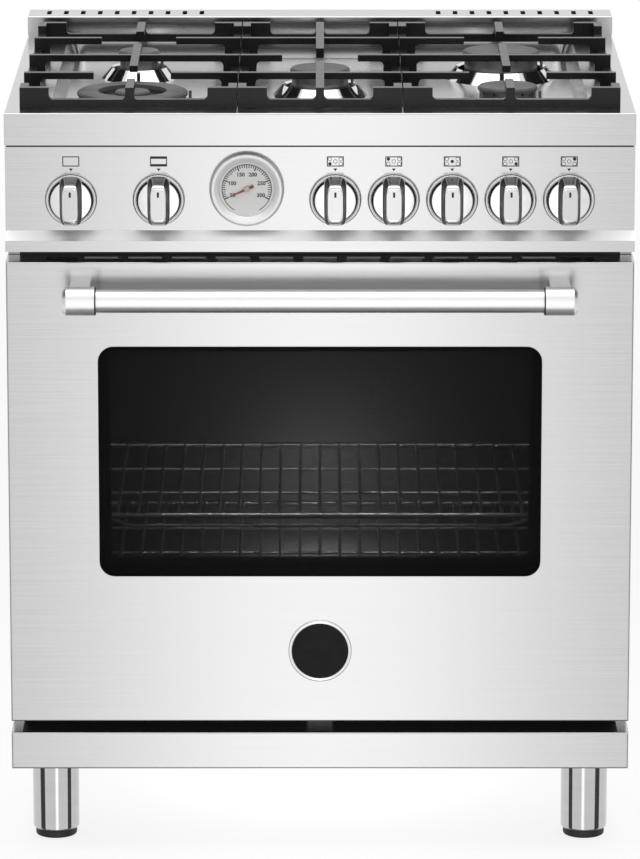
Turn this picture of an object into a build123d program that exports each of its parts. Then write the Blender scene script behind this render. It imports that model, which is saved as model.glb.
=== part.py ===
from build123d import *
import os
from math import cos, hypot, pi, radians, sqrt

# Freestanding gas range of the 30 inch class: cabinet, cooktop, controls, oven and door.
# X runs to the right seen from the front, Y to the rear and Z up. The origin is on the floor under
# the middle of the whole. Lengths are millimetres. A "depth" is measured backwards from the front
# plane, which is the face of the door, the apron and the kick panel.

# Overall sizes, from the floor up
width = 757.0
body_depth = 640.0
leg_height = 105.7
kick_height = 46.5
kick_gap = 14.0
door_height = 574.4
vent_gap = 12.5
lip_height = 13.3
ledge_drop = 10.3
panel_face_height = 106.3
apron_height = 39.0
riser_height = 25.0

# Sheet metal and clearances
sheet = 1.5
edge_inset = 1.0
edge_round = 2.5
stile_width = 14.0
run_fit = 0.05
slide_fit = 0.1
body_gap = 0.3
swing_gap = 1.5
joint_gap = 0.03

# Cabinet
frame_gap = 3.0
frame_sheet = 2.0
rear_recess = 20.0
base_wall = 30.0
vent_slot_length = 40.0
vent_slot_height = 4.0
vent_slot_pitch = 52.0
kick_tab_width = 31.0
kick_tab_height = 9.0

# Legs and levelling feet
leg_d = 57.5
leg_inset_x = 50.5
leg_depth = 78.0
leg_floor_gap = 9.6
leg_bore_top = 85.0
leg_edge = 2.5
foot_d = 51.0
foot_stem_d = 12.0
foot_stem_top = 60.0

# Control panel
panel_recess = 14.0
knob_margin = 79.3
oven_knob_pitch = 105.4
dial_pitch = 105.8
burner_knob_pitch = 70.2
knob_rise = 38.0
dial_rise = 51.3

# Knobs, measured forwards from the panel face
knob_push = 3.0
knob_disc_d = 52.0
knob_disc_front = 13.0
knob_reach = 38.0
grip_width = 27.0
grip_length = 60.0
grip_front_width = 19.5
grip_corner = 5.0
pointer_margin = 14.6
pointer_width = 2.0
pointer_length = 5.6
pointer_sink = 0.6
bezel_d = 63.0
bezel_lip = 3.4
bezel_height = 7.0
stem_d = 8.0
stem_hole = 12.0
stem_in_knob = 24.0

# Oven thermometer, measured forwards from the panel face
dial_bezel_d = 90.0
dial_d = 66.0
dial_case_front = 11.0
dial_case_seat = 2.0
dial_barrel = 44.0
dial_barrel_length = 24.0
dial_plate = 1.0
lens_back = 7.0
lens_plate = 1.5
needle_back = 4.2
needle_plate = 1.2
needle_length = 26.0
needle_tail = 9.0
needle_width = 3.4
needle_hub_d = 7.0
needle_pivot_d = 2.4
needle_rest_angle = 205.0

# Gas supply behind the panel
valve_size = 28.0
valve_front = 28.0
valve_length = 50.0
valve_bore_depth = 22.0
manifold_size = 25.0
manifold_gap = 2.0
manifold_drop = 36.0
saddle_width = 20.0
switch_size = 38.0
switch_length = 34.0
gas_tube_d = 8.0
tube_bend = 18.0
regulator_d = 60.0
regulator_height = 54.0
regulator_bonnet_d = 34.0
regulator_bonnet_height = 16.0
regulator_back = 65.0
regulator_inset = 38.0
inlet_d = 30.0
inlet_bore_d = 18.6
inlet_bore_depth = 20.0
gland_x = 290.0
gland_z = 170.0
gland_d = 30.0
gland_out = 3.0
gland_length = 14.0
gland_bore_d = 9.0

# Cooktop
basin_side_rim = 53.5
basin_front_rim = 46.0
basin_rear_gap = 14.0
basin_depth = 26.0
basin_corner = 26.0
basin_draft = 20.0
riser_depth = 55.0
riser_slot_width = 6.0
riser_slot_length = 28.0
riser_slot_pitch = 22.0
riser_slot_count = 10
riser_slot_margin = 27.0

# Burners: caps of the five positions
burner_inset_x = 149.5
front_row_depth = 148.0
rear_row_back = 229.0
dual_ring_d = 135.0
dual_gap_d = 84.0
dual_cap_d = 43.0
rear_left_cap_d = 52.0
center_cap_d = 74.0
front_right_cap_d = 73.0
rear_right_cap_d = 96.5
cap_top = 9.0
cap_thickness = 5.0
cap_bevel = 2.0
dual_cap_top = 2.5
cap_overhang = 2.0
port_width = 2.2
port_height = 4.0
port_depth = 4.0
port_pitch = 18.0
trim_foot = 21.5
trim_throat = 9.0
trim_lip = 5.5
trim_lip_drop = 2.0
trim_height = 14.0
trim_sheet = 1.5
cup_step = 7.0
cup_length = 33.0
cup_lip = 4.0
hole_clearance = 0.5
dual_cup_d = 80.0
dual_flange = 19.5
igniter_d = 3.6
igniter_height = 28.0
igniter_offset = 3.0

# Cast pan supports
grate_height = 25.0
grate_side_inset = 17.5
grate_center_width = 199.0
grate_gap = 1.5
grate_front_depth = 35.0
grate_rear_back = 103.0
grate_bar = 10.0
grate_bar_height = 8.0
grate_stub_height = 12.0
grate_rail_rise = 0.6
grate_rail_height = 10.0
grate_corner = 35.0
grate_gusset = 20.0
grate_cove = 5.0
finger_clear = 47.0

# Oven
cavity_side = 78.5
cavity_below = 79.0
cavity_above = 50.6
cavity_back = 130.0
liner_sheet = 1.2
insulation = 30.0
oven_floor_rise = 35.0
oven_floor_slot = 9.0
oven_floor_slot_length = 260.0
oven_floor_slot_inset = 26.0
bake_tube_d = 20.0
bake_half_width = 130.0
bake_front_gap = 80.0
bake_rise = 17.0
broil_width = 240.0
broil_height = 20.0
broil_front_gap = 80.0
broil_rear_gap = 78.5
broil_slot_pitch = 20.0
lamp_width = 84.0
lamp_height = 58.0
lamp_reach = 28.0
lamp_bevel = 9.0
lamp_corner = 90.0

# Oven racks and their guides
rack_levels = 5
rack_pitch = 78.0
lowest_rail_rise = 68.0
lower_rack_level = 0
upper_rack_level = 1
guide_wire = 6.0
guide_post_gap = 5.0
guide_reach = 16.0
guide_end_gap = 35.0
guide_stud_d = 12.0
rack_wire = 8.0
rack_lip_wire = 6.0
rack_lip_drop = 12.5
rack_corner = 20.0
rack_front_gap = 60.0
rack_rear_gap = 20.0
rack_rod = 4.4
rack_rod_pitch = 25.0
rack_cross_wire = 5.0
rack_cross_count = 2

# Oven door
door_thickness = 45.0
window_side = 110.0
window_below = 183.7
window_above = 104.0
window_corner = 19.0
outer_glass = 5.0
outer_glass_lap = 28.0
inner_glass = 4.0
inner_glass_lap = 8.0
inner_window_inset = 14.0
inner_flange = 8.0
gasket_width = 12.0
gasket_margin = 12.0
emblem_d = 77.0
emblem_ring = 4.0
emblem_plate = 1.6
emblem_ring_height = 2.8
emblem_rise = 90.0

# Door handle
handle_d = 28.0
handle_end_d = 34.6
handle_end_length = 38.0
handle_end_chamfer = 4.0
handle_side = 71.0
handle_drop = 36.6
handle_standoff = 55.0
handle_stem = 24.0

# Door hinges
hinge_inset_x = 78.0
hinge_depth = 18.0
hinge_rise = 7.8
hinge_arm_thickness = 6.0
hinge_nose_d = 13.0
hinge_pin_d = 7.0
hinge_pin_end = 2.0
hinge_cheek = 2.5
hinge_cheek_height = 70.0
hinge_cheek_rear_gap = 3.0
hinge_web_lift = 24.0
hinge_plate_width = 44.0
hinge_plate_height = 56.0
hinge_plate = 2.5
hinge_tail = 60.0

# Heights of the edges on the front
half_width = width / 2
kick_top = leg_height + kick_height
door_bottom = kick_top + kick_gap
door_top = door_bottom + door_height
panel_bottom = door_top + vent_gap
ledge_front_z = panel_bottom + lip_height
panel_face_bottom = ledge_front_z + ledge_drop
apron_bottom = panel_face_bottom + panel_face_height
rim_z = apron_bottom + apron_height
top_z = rim_z + riser_height

# Front and rear planes
handle_reach = handle_standoff + handle_end_d / 2
front_y = (handle_reach - body_depth) / 2
rear_y = front_y + body_depth
frame_depth = door_thickness + frame_gap
frame_y = front_y + frame_depth
frame_back_y = frame_y + sheet + frame_sheet
door_back_y = front_y + door_thickness
panel_y = front_y + panel_recess
rear_panel_y = rear_y - rear_recess
inner_x = half_width - edge_inset - sheet

# Places on the control panel
knob_z = panel_face_bottom + knob_rise
dial_z = panel_face_bottom + dial_rise
selector_x = -(half_width - knob_margin)
oven_knob_x = selector_x + oven_knob_pitch
dial_x = oven_knob_x + dial_pitch
burner_names = ["front_left", "rear_left", "center", "front_right", "rear_right"]
burner_knob_xs = [half_width - knob_margin - burner_knob_pitch * (4 - i) for i in range(5)]
gas_knobs = {"oven": oven_knob_x}
gas_knobs.update({f"burner_{name}": x for name, x in zip(burner_names, burner_knob_xs)})
valve_y = front_y + valve_front
valve_back_y = valve_y + valve_length
manifold_y = frame_back_y + manifold_gap + manifold_size / 2
manifold_z = knob_z - manifold_drop

# Places on the cooktop
basin_z = rim_z - basin_depth
burner_x = half_width - burner_inset_x
front_row_y = front_y + front_row_depth
rear_row_y = rear_y - rear_row_back
middle_row_y = (front_row_y + rear_row_y) / 2
burner_places = {
    "front_left": (-burner_x, front_row_y),
    "rear_left": (-burner_x, rear_row_y),
    "center": (0.0, middle_row_y),
    "front_right": (burner_x, front_row_y),
    "rear_right": (burner_x, rear_row_y),
}
single_caps = {
    "rear_left": rear_left_cap_d,
    "center": center_cap_d,
    "front_right": front_right_cap_d,
    "rear_right": rear_right_cap_d,
}
cup_top_z = basin_z + cup_lip
cup_bottom_z = basin_z - cup_length

# Places in the oven
cavity_x = half_width - cavity_side
cavity_bottom = door_bottom + cavity_below
cavity_top = door_top - cavity_above
cavity_rear_y = rear_y - cavity_back
oven_floor_z = cavity_bottom + oven_floor_rise
lowest_rail_z = cavity_bottom + lowest_rail_rise
bake_z = cavity_bottom + bake_rise

# Places on the door
window_x = half_width - window_side
window_bottom = door_bottom + window_below
window_top = door_top - window_above
window_z = (window_bottom + window_top) / 2
window_height = window_top - window_bottom
handle_z = door_top - handle_drop
handle_y = front_y - handle_standoff
handle_end_x = half_width - handle_side
handle_bar_x = handle_end_x - handle_end_length
hinge_x = half_width - hinge_inset_x
hinge_y = front_y + hinge_depth
hinge_z = door_bottom + hinge_rise

os.makedirs("parts", exist_ok=True)


def write(piece, name):
    """Label a finished piece and write it under its own name."""
    piece.part.label = name
    export_step(piece.part, f"parts/{name}.step")


def facing_front(y, x=0.0, z=0.0):
    """Upright plane at Y = y; sketch axes are X and Z, and it extrudes towards the front."""
    return Plane((x, y, z), x_dir=(1, 0, 0), z_dir=(0, -1, 0))


def lathe_forward(x, y, z):
    """Plane for turned pieces on an axis along Y: sketch x is the radius, sketch y runs forwards."""
    return Plane((x, y, z), x_dir=(1, 0, 0), z_dir=(0, 0, -1))


def forward_axis(x, z):
    """Axis of a knob, stem or dial."""
    return Axis((x, 0, z), (0, -1, 0))


def upright_axis(x, y):
    """Axis of a leg or a burner."""
    return Axis((x, y, 0), (0, 0, 1))


def rect(x0, x1, y0, y1, mode=Mode.ADD):
    """Rectangle between two corners of the current sketch."""
    with Locations(((x0 + x1) / 2, (y0 + y1) / 2)):
        Rectangle(x1 - x0, y1 - y0, mode=mode)


def mitred_rod(points, diameter):
    """Six-sided rod or tube along straight runs with mitred corners, added to the current part."""
    with BuildLine() as run:
        Polyline(*points)
    with BuildSketch(Plane(origin=run.line @ 0, z_dir=run.line % 0)) as section:
        RegularPolygon(diameter / 2, 6)
    sweep(sections=section.sketch, path=run.line, transition=Transition.RIGHT)


# Cabinet: folded side panels with front stiles and rear flanges
with BuildPart() as side_panels:
    web_x = half_width - edge_inset
    with BuildSketch(Plane.XY.offset(leg_height)):
        rect(web_x - sheet, web_x, frame_y, rear_y)
        rect(web_x - stile_width, web_x, frame_y, frame_y + sheet)
        rect(web_x - stile_width, web_x, rear_y - sheet, rear_y)
    extrude(amount=apron_bottom - leg_height)
    mirror(about=Plane.YZ)
write(side_panels, "side_panels")

# Cabinet: tray that carries the oven and takes the legs
with BuildPart() as base_pan:
    with BuildSketch(Plane.XY.offset(leg_height)):
        rect(-inner_x, inner_x, frame_back_y, rear_panel_y)
    extrude(amount=base_wall)
    with BuildSketch(Plane.XY.offset(leg_height + sheet)):
        rect(-inner_x + sheet, inner_x - sheet, frame_back_y + sheet, rear_panel_y - sheet)
    extrude(amount=base_wall, mode=Mode.SUBTRACT)
write(base_pan, "base_pan")

# Cabinet: front frame with the oven mouth, the vent opening and the slots for the hinge arms
with BuildPart() as front_frame:
    arm_slot_x = hinge_arm_thickness / 2 + swing_gap
    arm_slot_z = hinge_nose_d / 2 + swing_gap
    with BuildSketch(facing_front(frame_back_y)):
        rect(-inner_x, inner_x, leg_height, ledge_front_z)
        rect(-cavity_x, cavity_x, cavity_bottom, cavity_top, mode=Mode.SUBTRACT)
        vent_x = half_width - stile_width * 2
        rect(-vent_x, vent_x, door_top - sheet, panel_bottom + sheet, mode=Mode.SUBTRACT)
        for x in (-hinge_x, hinge_x):
            rect(
                x - arm_slot_x,
                x + arm_slot_x,
                hinge_z - arm_slot_z,
                hinge_z + arm_slot_z,
                mode=Mode.SUBTRACT,
            )
    extrude(amount=frame_sheet)
write(front_frame, "front_frame")

# Cabinet: dark louvre strip in the gap above the door
with BuildPart() as vent_trim:
    trim_x = half_width - edge_inset - stile_width
    slot_count = int(2 * trim_x // vent_slot_pitch)
    with BuildSketch(facing_front(frame_y + sheet)):
        rect(-trim_x, trim_x, door_top - lip_height / 2, panel_bottom + lip_height / 2)
        with Locations((0, door_top + vent_gap / 2)):
            with GridLocations(vent_slot_pitch, vent_gap, slot_count, 1):
                Rectangle(vent_slot_length, vent_slot_height, mode=Mode.SUBTRACT)
    extrude(amount=sheet)
write(vent_trim, "vent_trim")

# Cabinet: rear panel with cooling slots, the hole for the gas inlet and the cord gland
inlet_x = half_width - regulator_inset
with BuildPart() as rear_panel:
    with BuildSketch(facing_front(rear_panel_y + sheet)):
        rect(-inner_x, inner_x, leg_height, apron_bottom)
        with Locations((inlet_x, manifold_z)):
            Circle(inlet_d / 2 + hole_clearance, mode=Mode.SUBTRACT)
        with Locations((-gland_x, gland_z)):
            Circle(gland_d / 2, mode=Mode.SUBTRACT)
        with Locations((0, apron_bottom - stile_width * 3)):
            with GridLocations(vent_slot_pitch, stile_width, 6, 2):
                Rectangle(vent_slot_length, vent_slot_height, mode=Mode.SUBTRACT)
    extrude(amount=sheet)
    with BuildSketch(lathe_forward(-gland_x, rear_panel_y + sheet, gland_z)):
        rect(gland_bore_d / 2, gland_d / 2 - joint_gap, -gland_out, gland_length - gland_out)
    revolve(axis=forward_axis(-gland_x, gland_z), mode=Mode.ADD)
write(rear_panel, "rear_panel")

# Cabinet: kick panel, a folded box open at the rear, with a small tab on its top
with BuildPart() as kick_panel:
    with BuildSketch(facing_front(frame_y)):
        rect(-half_width, half_width, leg_height, kick_top)
    extrude(amount=frame_depth)
    fillet(kick_panel.faces().sort_by(Axis.Y)[0].edges(), edge_round)
    with BuildSketch(facing_front(frame_y)):
        rect(-half_width + sheet, half_width - sheet, leg_height + sheet, kick_top - sheet)
    extrude(amount=frame_depth - sheet, mode=Mode.SUBTRACT)
    with BuildSketch(facing_front(frame_y)):
        rect(-kick_tab_width / 2, kick_tab_width / 2, kick_top - sheet, kick_top + kick_tab_height)
    extrude(amount=sheet)
write(kick_panel, "kick_panel")

# Legs: turned posts bored for the screw of the levelling foot
leg_places = {
    "front_left": (-(half_width - leg_inset_x), front_y + leg_depth),
    "front_right": (half_width - leg_inset_x, front_y + leg_depth),
    "rear_left": (-(half_width - leg_inset_x), rear_y - leg_depth),
    "rear_right": (half_width - leg_inset_x, rear_y - leg_depth),
}
with BuildPart() as legs:
    for x, y in leg_places.values():
        with BuildSketch(facing_front(y, x)):
            with BuildLine():
                leg_r = leg_d / 2
                bore_r = foot_stem_d / 2 + slide_fit
                Polyline(
                    (bore_r, leg_floor_gap),
                    (bore_r, leg_bore_top),
                    (0, leg_bore_top),
                    (0, leg_height),
                    (leg_r, leg_height),
                    (leg_r, leg_floor_gap + leg_edge),
                    (leg_r - leg_edge, leg_floor_gap),
                    close=True,
                )
            make_face()
        revolve(axis=upright_axis(x, y))
write(legs, "legs")

# Levelling feet: a round pad on a screwed stem
for place, (x, y) in leg_places.items():
    with BuildPart() as foot:
        with BuildSketch():
            with Locations((x, y)):
                Circle(foot_d / 2)
        extrude(amount=leg_floor_gap - body_gap)
        with BuildSketch():
            with Locations((x, y)):
                Circle(foot_stem_d / 2)
        extrude(amount=foot_stem_top)
    write(foot, f"foot_{place}")

# Control panel: folded face, sloped ledge and front lip, closed at both ends
with BuildPart() as control_panel:
    ledge_slope = ledge_drop / panel_recess
    ledge_shift = sheet * hypot(1, ledge_slope)

    def under_ledge(y):
        """Height of the inner skin of the sloped ledge."""
        return ledge_front_z + (y - front_y) * ledge_slope - ledge_shift

    with BuildSketch(Plane.YZ.offset(-half_width)):
        with BuildLine():
            Polyline(
                (frame_y, apron_bottom),
                (panel_y, apron_bottom),
                (panel_y, panel_face_bottom),
                (front_y, ledge_front_z),
                (front_y, panel_bottom),
                (frame_y, panel_bottom),
                close=True,
            )
        make_face()
    extrude(amount=width)
    inner_panel_y = panel_y + sheet
    inner_lip_y = front_y + sheet
    with BuildSketch(Plane.YZ.offset(-half_width + sheet)):
        with BuildLine():
            Polyline(
                (frame_y, apron_bottom - sheet),
                (inner_panel_y, apron_bottom - sheet),
                (inner_panel_y, under_ledge(inner_panel_y)),
                (inner_lip_y, under_ledge(inner_lip_y)),
                (inner_lip_y, panel_bottom + sheet),
                (frame_y, panel_bottom + sheet),
                close=True,
            )
        make_face()
    extrude(amount=width - 2 * sheet, mode=Mode.SUBTRACT)
    with BuildSketch(facing_front(inner_panel_y)):
        with Locations(*[(x, knob_z) for x in (selector_x, *gas_knobs.values())]):
            Rectangle(stem_hole, stem_hole)
        with Locations((dial_x, dial_z)):
            Rectangle(dial_barrel + 2 * hole_clearance, dial_barrel + 2 * hole_clearance)
    extrude(amount=sheet, mode=Mode.SUBTRACT)
write(control_panel, "control_panel")

# Turned rings round the knobs
with BuildPart() as knob_bezels:
    for x in (selector_x, *gas_knobs.values()):
        with BuildSketch(lathe_forward(x, panel_y, knob_z)):
            bezel_r = bezel_d / 2
            with BuildLine():
                Polyline(
                    (bezel_r - bezel_lip, 0),
                    (bezel_r, 0),
                    (bezel_r, bezel_height - bezel_lip / 2),
                    (bezel_r - bezel_lip, bezel_height),
                    close=True,
                )
            make_face()
        revolve(axis=forward_axis(x, knob_z))
write(knob_bezels, "knob_bezels")


def make_knob(x):
    """Turned disc with a drafted grip bar, a blind bore for the stem and a pointer groove."""
    knob_back = knob_push + body_gap
    with BuildPart() as knob:
        with BuildSketch(lathe_forward(x, panel_y, knob_z)):
            rect(0, knob_disc_d / 2, knob_back, knob_disc_front)
        revolve(axis=forward_axis(x, knob_z))
        grip_back_y = panel_y - knob_disc_front
        with BuildSketch(Plane.XY.offset(knob_z - grip_length / 2)):
            with BuildLine():
                Polyline(
                    (x - grip_width / 2, grip_back_y),
                    (x - grip_front_width / 2, panel_y - knob_reach),
                    (x + grip_front_width / 2, panel_y - knob_reach),
                    (x + grip_width / 2, grip_back_y),
                    close=True,
                )
            make_face()
        extrude(amount=grip_length)
        for end in (knob.faces().sort_by(Axis.Z)[0], knob.faces().sort_by(Axis.Z)[-1]):
            chamfer(end.edges().sort_by(Axis.Y)[:3], grip_corner)
        with BuildSketch(facing_front(panel_y - knob_back, x, knob_z)):
            Circle(stem_d / 2 + run_fit)
        extrude(amount=stem_in_knob - knob_back, mode=Mode.SUBTRACT)
        pointer_top = grip_length / 2 - pointer_margin
        with BuildSketch(facing_front(panel_y - knob_reach + pointer_sink, x, knob_z)):
            rect(-pointer_width / 2, pointer_width / 2, pointer_top - pointer_length, pointer_top)
        extrude(amount=pointer_sink, mode=Mode.SUBTRACT)
    return knob


write(make_knob(selector_x), "knob_selector")
for name, x in gas_knobs.items():
    write(make_knob(x), f"knob_{name}")

# Six-sided stems that carry the gas knobs and slide into the valves when a knob is pushed
stem_front_y = panel_y - stem_in_knob + body_gap
stem_back_y = valve_y + valve_bore_depth - knob_push - body_gap
for name, x in gas_knobs.items():
    with BuildPart() as valve_stem:
        with BuildSketch(facing_front(stem_back_y, x, knob_z)):
            RegularPolygon(stem_d / 2, 6)
        extrude(amount=stem_back_y - stem_front_y)
    write(valve_stem, f"valve_stem_{name}")

# Valves saddled on the manifold, and the selector switch on the back of the panel
with BuildPart() as control_bodies:
    for x in gas_knobs.values():
        with BuildSketch(facing_front(valve_back_y, x, knob_z)):
            Rectangle(valve_size, valve_size)
        extrude(amount=valve_length)
        with BuildSketch(facing_front(manifold_y + saddle_width / 2)):
            saddle_z = manifold_z + manifold_size / 2 + joint_gap
            rect(x - saddle_width / 2, x + saddle_width / 2, saddle_z, knob_z)
        extrude(amount=saddle_width)
        with BuildSketch(facing_front(valve_y, x, knob_z)):
            RegularPolygon(stem_d / 2 + body_gap, 6)
        extrude(amount=-valve_bore_depth, mode=Mode.SUBTRACT)
    with BuildSketch(facing_front(inner_panel_y + switch_length, selector_x, knob_z)):
        Rectangle(switch_size, switch_size)
    extrude(amount=switch_length)
    with BuildSketch(facing_front(inner_panel_y, selector_x, knob_z)):
        Circle(stem_d / 2)
    extrude(amount=inner_panel_y - stem_front_y)
write(control_bodies, "control_bodies")

# Square manifold tube, pressure regulator and the inlet at the rear
regulator_y = rear_y - regulator_back
with BuildPart() as gas_manifold:
    half_tube = manifold_size / 2
    with BuildSketch(Plane.XY.offset(manifold_z - half_tube)):
        rect(oven_knob_x - manifold_size, inlet_x + half_tube, manifold_y - half_tube, manifold_y + half_tube)
        rect(inlet_x - half_tube, inlet_x + half_tube, manifold_y, regulator_y)
    extrude(amount=manifold_size)
    with BuildSketch(Plane.XY.offset(manifold_z - regulator_height / 2)):
        with Locations((inlet_x, regulator_y)):
            Circle(regulator_d / 2)
    extrude(amount=regulator_height)
    with BuildSketch(Plane.XY.offset(manifold_z + regulator_height / 2)):
        with Locations((inlet_x, regulator_y)):
            RegularPolygon(regulator_bonnet_d / 2, 6)
    extrude(amount=regulator_bonnet_height)
    with BuildSketch(facing_front(rear_y, inlet_x, manifold_z)):
        RegularPolygon(inlet_d / 2, 6)
    extrude(amount=rear_y - regulator_y)
    with BuildSketch(facing_front(rear_y, inlet_x, manifold_z)):
        Circle(inlet_bore_d / 2)
    extrude(amount=inlet_bore_depth, mode=Mode.SUBTRACT)
write(gas_manifold, "gas_manifold")

# Tubes from the valves to the burner cups, and from the thermostat down to the bake burner
with BuildPart() as gas_tubes:
    tube_rise_z = cup_bottom_z - 2 * tube_bend
    for name, x in zip(burner_names, burner_knob_xs):
        end_x, end_y = burner_places[name]
        mitred_rod(
            [
                (x, valve_back_y, knob_z),
                (x, valve_back_y + 1.5 * tube_bend, knob_z),
                (end_x, end_y, tube_rise_z),
                (end_x, end_y, cup_bottom_z),
            ],
            gas_tube_d,
        )
    side_gap_x = -(cavity_x + liner_sheet + insulation + inner_x) / 2
    bake_end_y = (cavity_rear_y + insulation + rear_panel_y) / 2
    mitred_rod(
        [
            (oven_knob_x, valve_back_y, knob_z),
            (oven_knob_x, valve_back_y + 2 * tube_bend, knob_z),
            (side_gap_x, valve_back_y + 4 * tube_bend, manifold_z),
            (side_gap_x, bake_end_y, bake_z),
            (-bake_half_width - bake_tube_d / 2, bake_end_y, bake_z),
        ],
        gas_tube_d,
    )
write(gas_tubes, "gas_tubes")


def dial_ring(inner_d, outer_d, back, front):
    """Ring on the thermometer axis between two distances in front of the panel, in the current part."""
    with BuildSketch(lathe_forward(dial_x, panel_y, dial_z)) as profile:
        rect(inner_d / 2, outer_d / 2, back, front)
    revolve(profile.sketch, axis=forward_axis(dial_x, dial_z))


# Thermometer: turned case with a sloped bezel, dial plate, lens and needle
with BuildPart() as thermometer_case:
    with BuildSketch(lathe_forward(dial_x, panel_y, dial_z)):
        with BuildLine():
            Polyline(
                (0, 0),
                (dial_bezel_d / 2, 0),
                (dial_bezel_d / 2, dial_case_front),
                (dial_d / 2, lens_back + lens_plate),
                (dial_d / 2, dial_case_seat),
                (0, dial_case_seat),
                close=True,
            )
        make_face()
    revolve(axis=forward_axis(dial_x, dial_z))
    with BuildSketch(facing_front(panel_y - dial_case_seat, dial_x, dial_z)):
        Circle(needle_pivot_d / 2 + slide_fit)
    extrude(amount=-dial_case_seat, mode=Mode.SUBTRACT)
    with BuildSketch(facing_front(panel_y, dial_x, dial_z)):
        Rectangle(dial_barrel, dial_barrel)
    extrude(amount=-dial_barrel_length)
write(thermometer_case, "thermometer_case")

with BuildPart() as thermometer_dial:
    dial_ring(
        needle_pivot_d + 2 * run_fit,
        dial_d - 2 * joint_gap,
        dial_case_seat,
        dial_case_seat + dial_plate,
    )
write(thermometer_dial, "thermometer_dial")

with BuildPart() as thermometer_lens:
    dial_ring(0, dial_d - 2 * joint_gap, lens_back, lens_back + lens_plate)
write(thermometer_lens, "thermometer_lens")

with BuildPart() as thermometer_needle:
    dial_ring(0, needle_pivot_d, body_gap, needle_back)
    dial_ring(0, needle_hub_d, needle_back, needle_back + needle_plate)
    with BuildSketch(facing_front(panel_y - needle_back, dial_x, dial_z)):
        with BuildLine(Plane.XY.rotated((0, 0, needle_rest_angle))):
            Polyline(
                (-needle_tail, -needle_width / 2),
                (0, -needle_width / 2),
                (needle_length, 0),
                (0, needle_width / 2),
                (-needle_tail, needle_width / 2),
                close=True,
            )
        make_face()
    extrude(amount=needle_plate)
write(thermometer_needle, "thermometer_needle")

# Cooktop: one pressed sheet with an apron all round and a drafted basin for the burners
basin_front_y = front_y + basin_front_rim
basin_back_y = rear_y - riser_depth - basin_rear_gap
basin_mid_y = (basin_front_y + basin_back_y) / 2
basin_size = (width - 2 * basin_side_rim, basin_back_y - basin_front_y)
with BuildPart() as cooktop:
    with BuildSketch(Plane.XY.offset(apron_bottom)):
        rect(-half_width, half_width, front_y, rear_y)
    extrude(amount=apron_height)
    fillet(cooktop.faces().sort_by(Axis.Z)[-1].edges(), edge_round)
    with BuildSketch(Plane.XY.offset(apron_bottom)):
        rect(-half_width + sheet, half_width - sheet, front_y + sheet, rear_y - sheet)
    extrude(amount=apron_height - sheet, mode=Mode.SUBTRACT)
    for skin, mode in ((sheet, Mode.ADD), (0.0, Mode.SUBTRACT)):
        with BuildSketch(Plane.XY.offset(rim_z)):
            with Locations((0, basin_mid_y)):
                grow = 2 * skin / cos(radians(basin_draft))
                RectangleRounded(basin_size[0] + grow, basin_size[1] + grow, basin_corner + grow / 2)
        extrude(amount=-(basin_depth + skin), taper=basin_draft, mode=mode)
    for name, (x, y) in burner_places.items():
        cup_r = dual_cup_d / 2
        if name in single_caps:
            cup_r = single_caps[name] / 2 - cup_step
        with BuildSketch(Plane.XY.offset(basin_z)):
            with Locations((x, y)):
                Circle(cup_r + hole_clearance)
        extrude(amount=-2 * sheet, mode=Mode.SUBTRACT)
write(cooktop, "cooktop")

# Rear riser with two rows of vent slots
with BuildPart() as rear_riser:
    riser_y = rear_y - riser_depth
    with BuildSketch(Plane.XY.offset(rim_z)):
        rect(-half_width, half_width, riser_y, rear_y)
    extrude(amount=riser_height)
    fillet(rear_riser.faces().sort_by(Axis.Z)[-1].edges(), edge_round)
    with BuildSketch(Plane.XY.offset(rim_z)):
        rect(-half_width + sheet, half_width - sheet, riser_y + sheet, rear_y - sheet)
    extrude(amount=riser_height - sheet, mode=Mode.SUBTRACT)
    slot_row = (riser_slot_count - 1) * riser_slot_pitch
    slot_mid_x = half_width - riser_slot_margin - slot_row / 2
    with BuildSketch(Plane.XY.offset(top_z)):
        for x in (-slot_mid_x, slot_mid_x):
            with Locations((x, rear_y - riser_depth / 2)):
                with GridLocations(riser_slot_pitch, riser_depth, riser_slot_count, 1):
                    Rectangle(riser_slot_width, riser_slot_length)
    extrude(amount=-sheet, mode=Mode.SUBTRACT)
write(rear_riser, "rear_riser")


def turned(x, y, outline):
    """Piece turned about an upright axis from an outline of (radius, height), in the current part."""
    with BuildSketch(facing_front(y, x)) as profile:
        with BuildLine():
            Polyline(*outline, close=True)
        make_face()
    revolve(profile.sketch, axis=upright_axis(x, y))


def cut_ports(x, y, radius, top):
    """Gas slots round the upper rim of a burner head, cut from the current part."""
    with BuildSketch(Plane.XY.offset(top)) as ports:
        with Locations((x, y)):
            with PolarLocations(radius, round(2 * pi * radius / port_pitch)):
                Rectangle(2 * port_depth, port_width)
    extrude(ports.sketch, amount=-port_height, mode=Mode.SUBTRACT)


def cap_outline(inner, outer, top):
    """Outline of an enamelled cap: flat top, bevelled outer rim."""
    bottom = top - cap_thickness
    return [(inner, bottom), (outer, bottom), (outer, top - cap_bevel), (outer - cap_bevel, top), (inner, top)]


dual_x, dual_y = burner_places["front_left"]
single_cap_top_z = rim_z + cap_top
dual_cap_top_z = rim_z + dual_cap_top
dual_seat_z = basin_z + dual_flange

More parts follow.
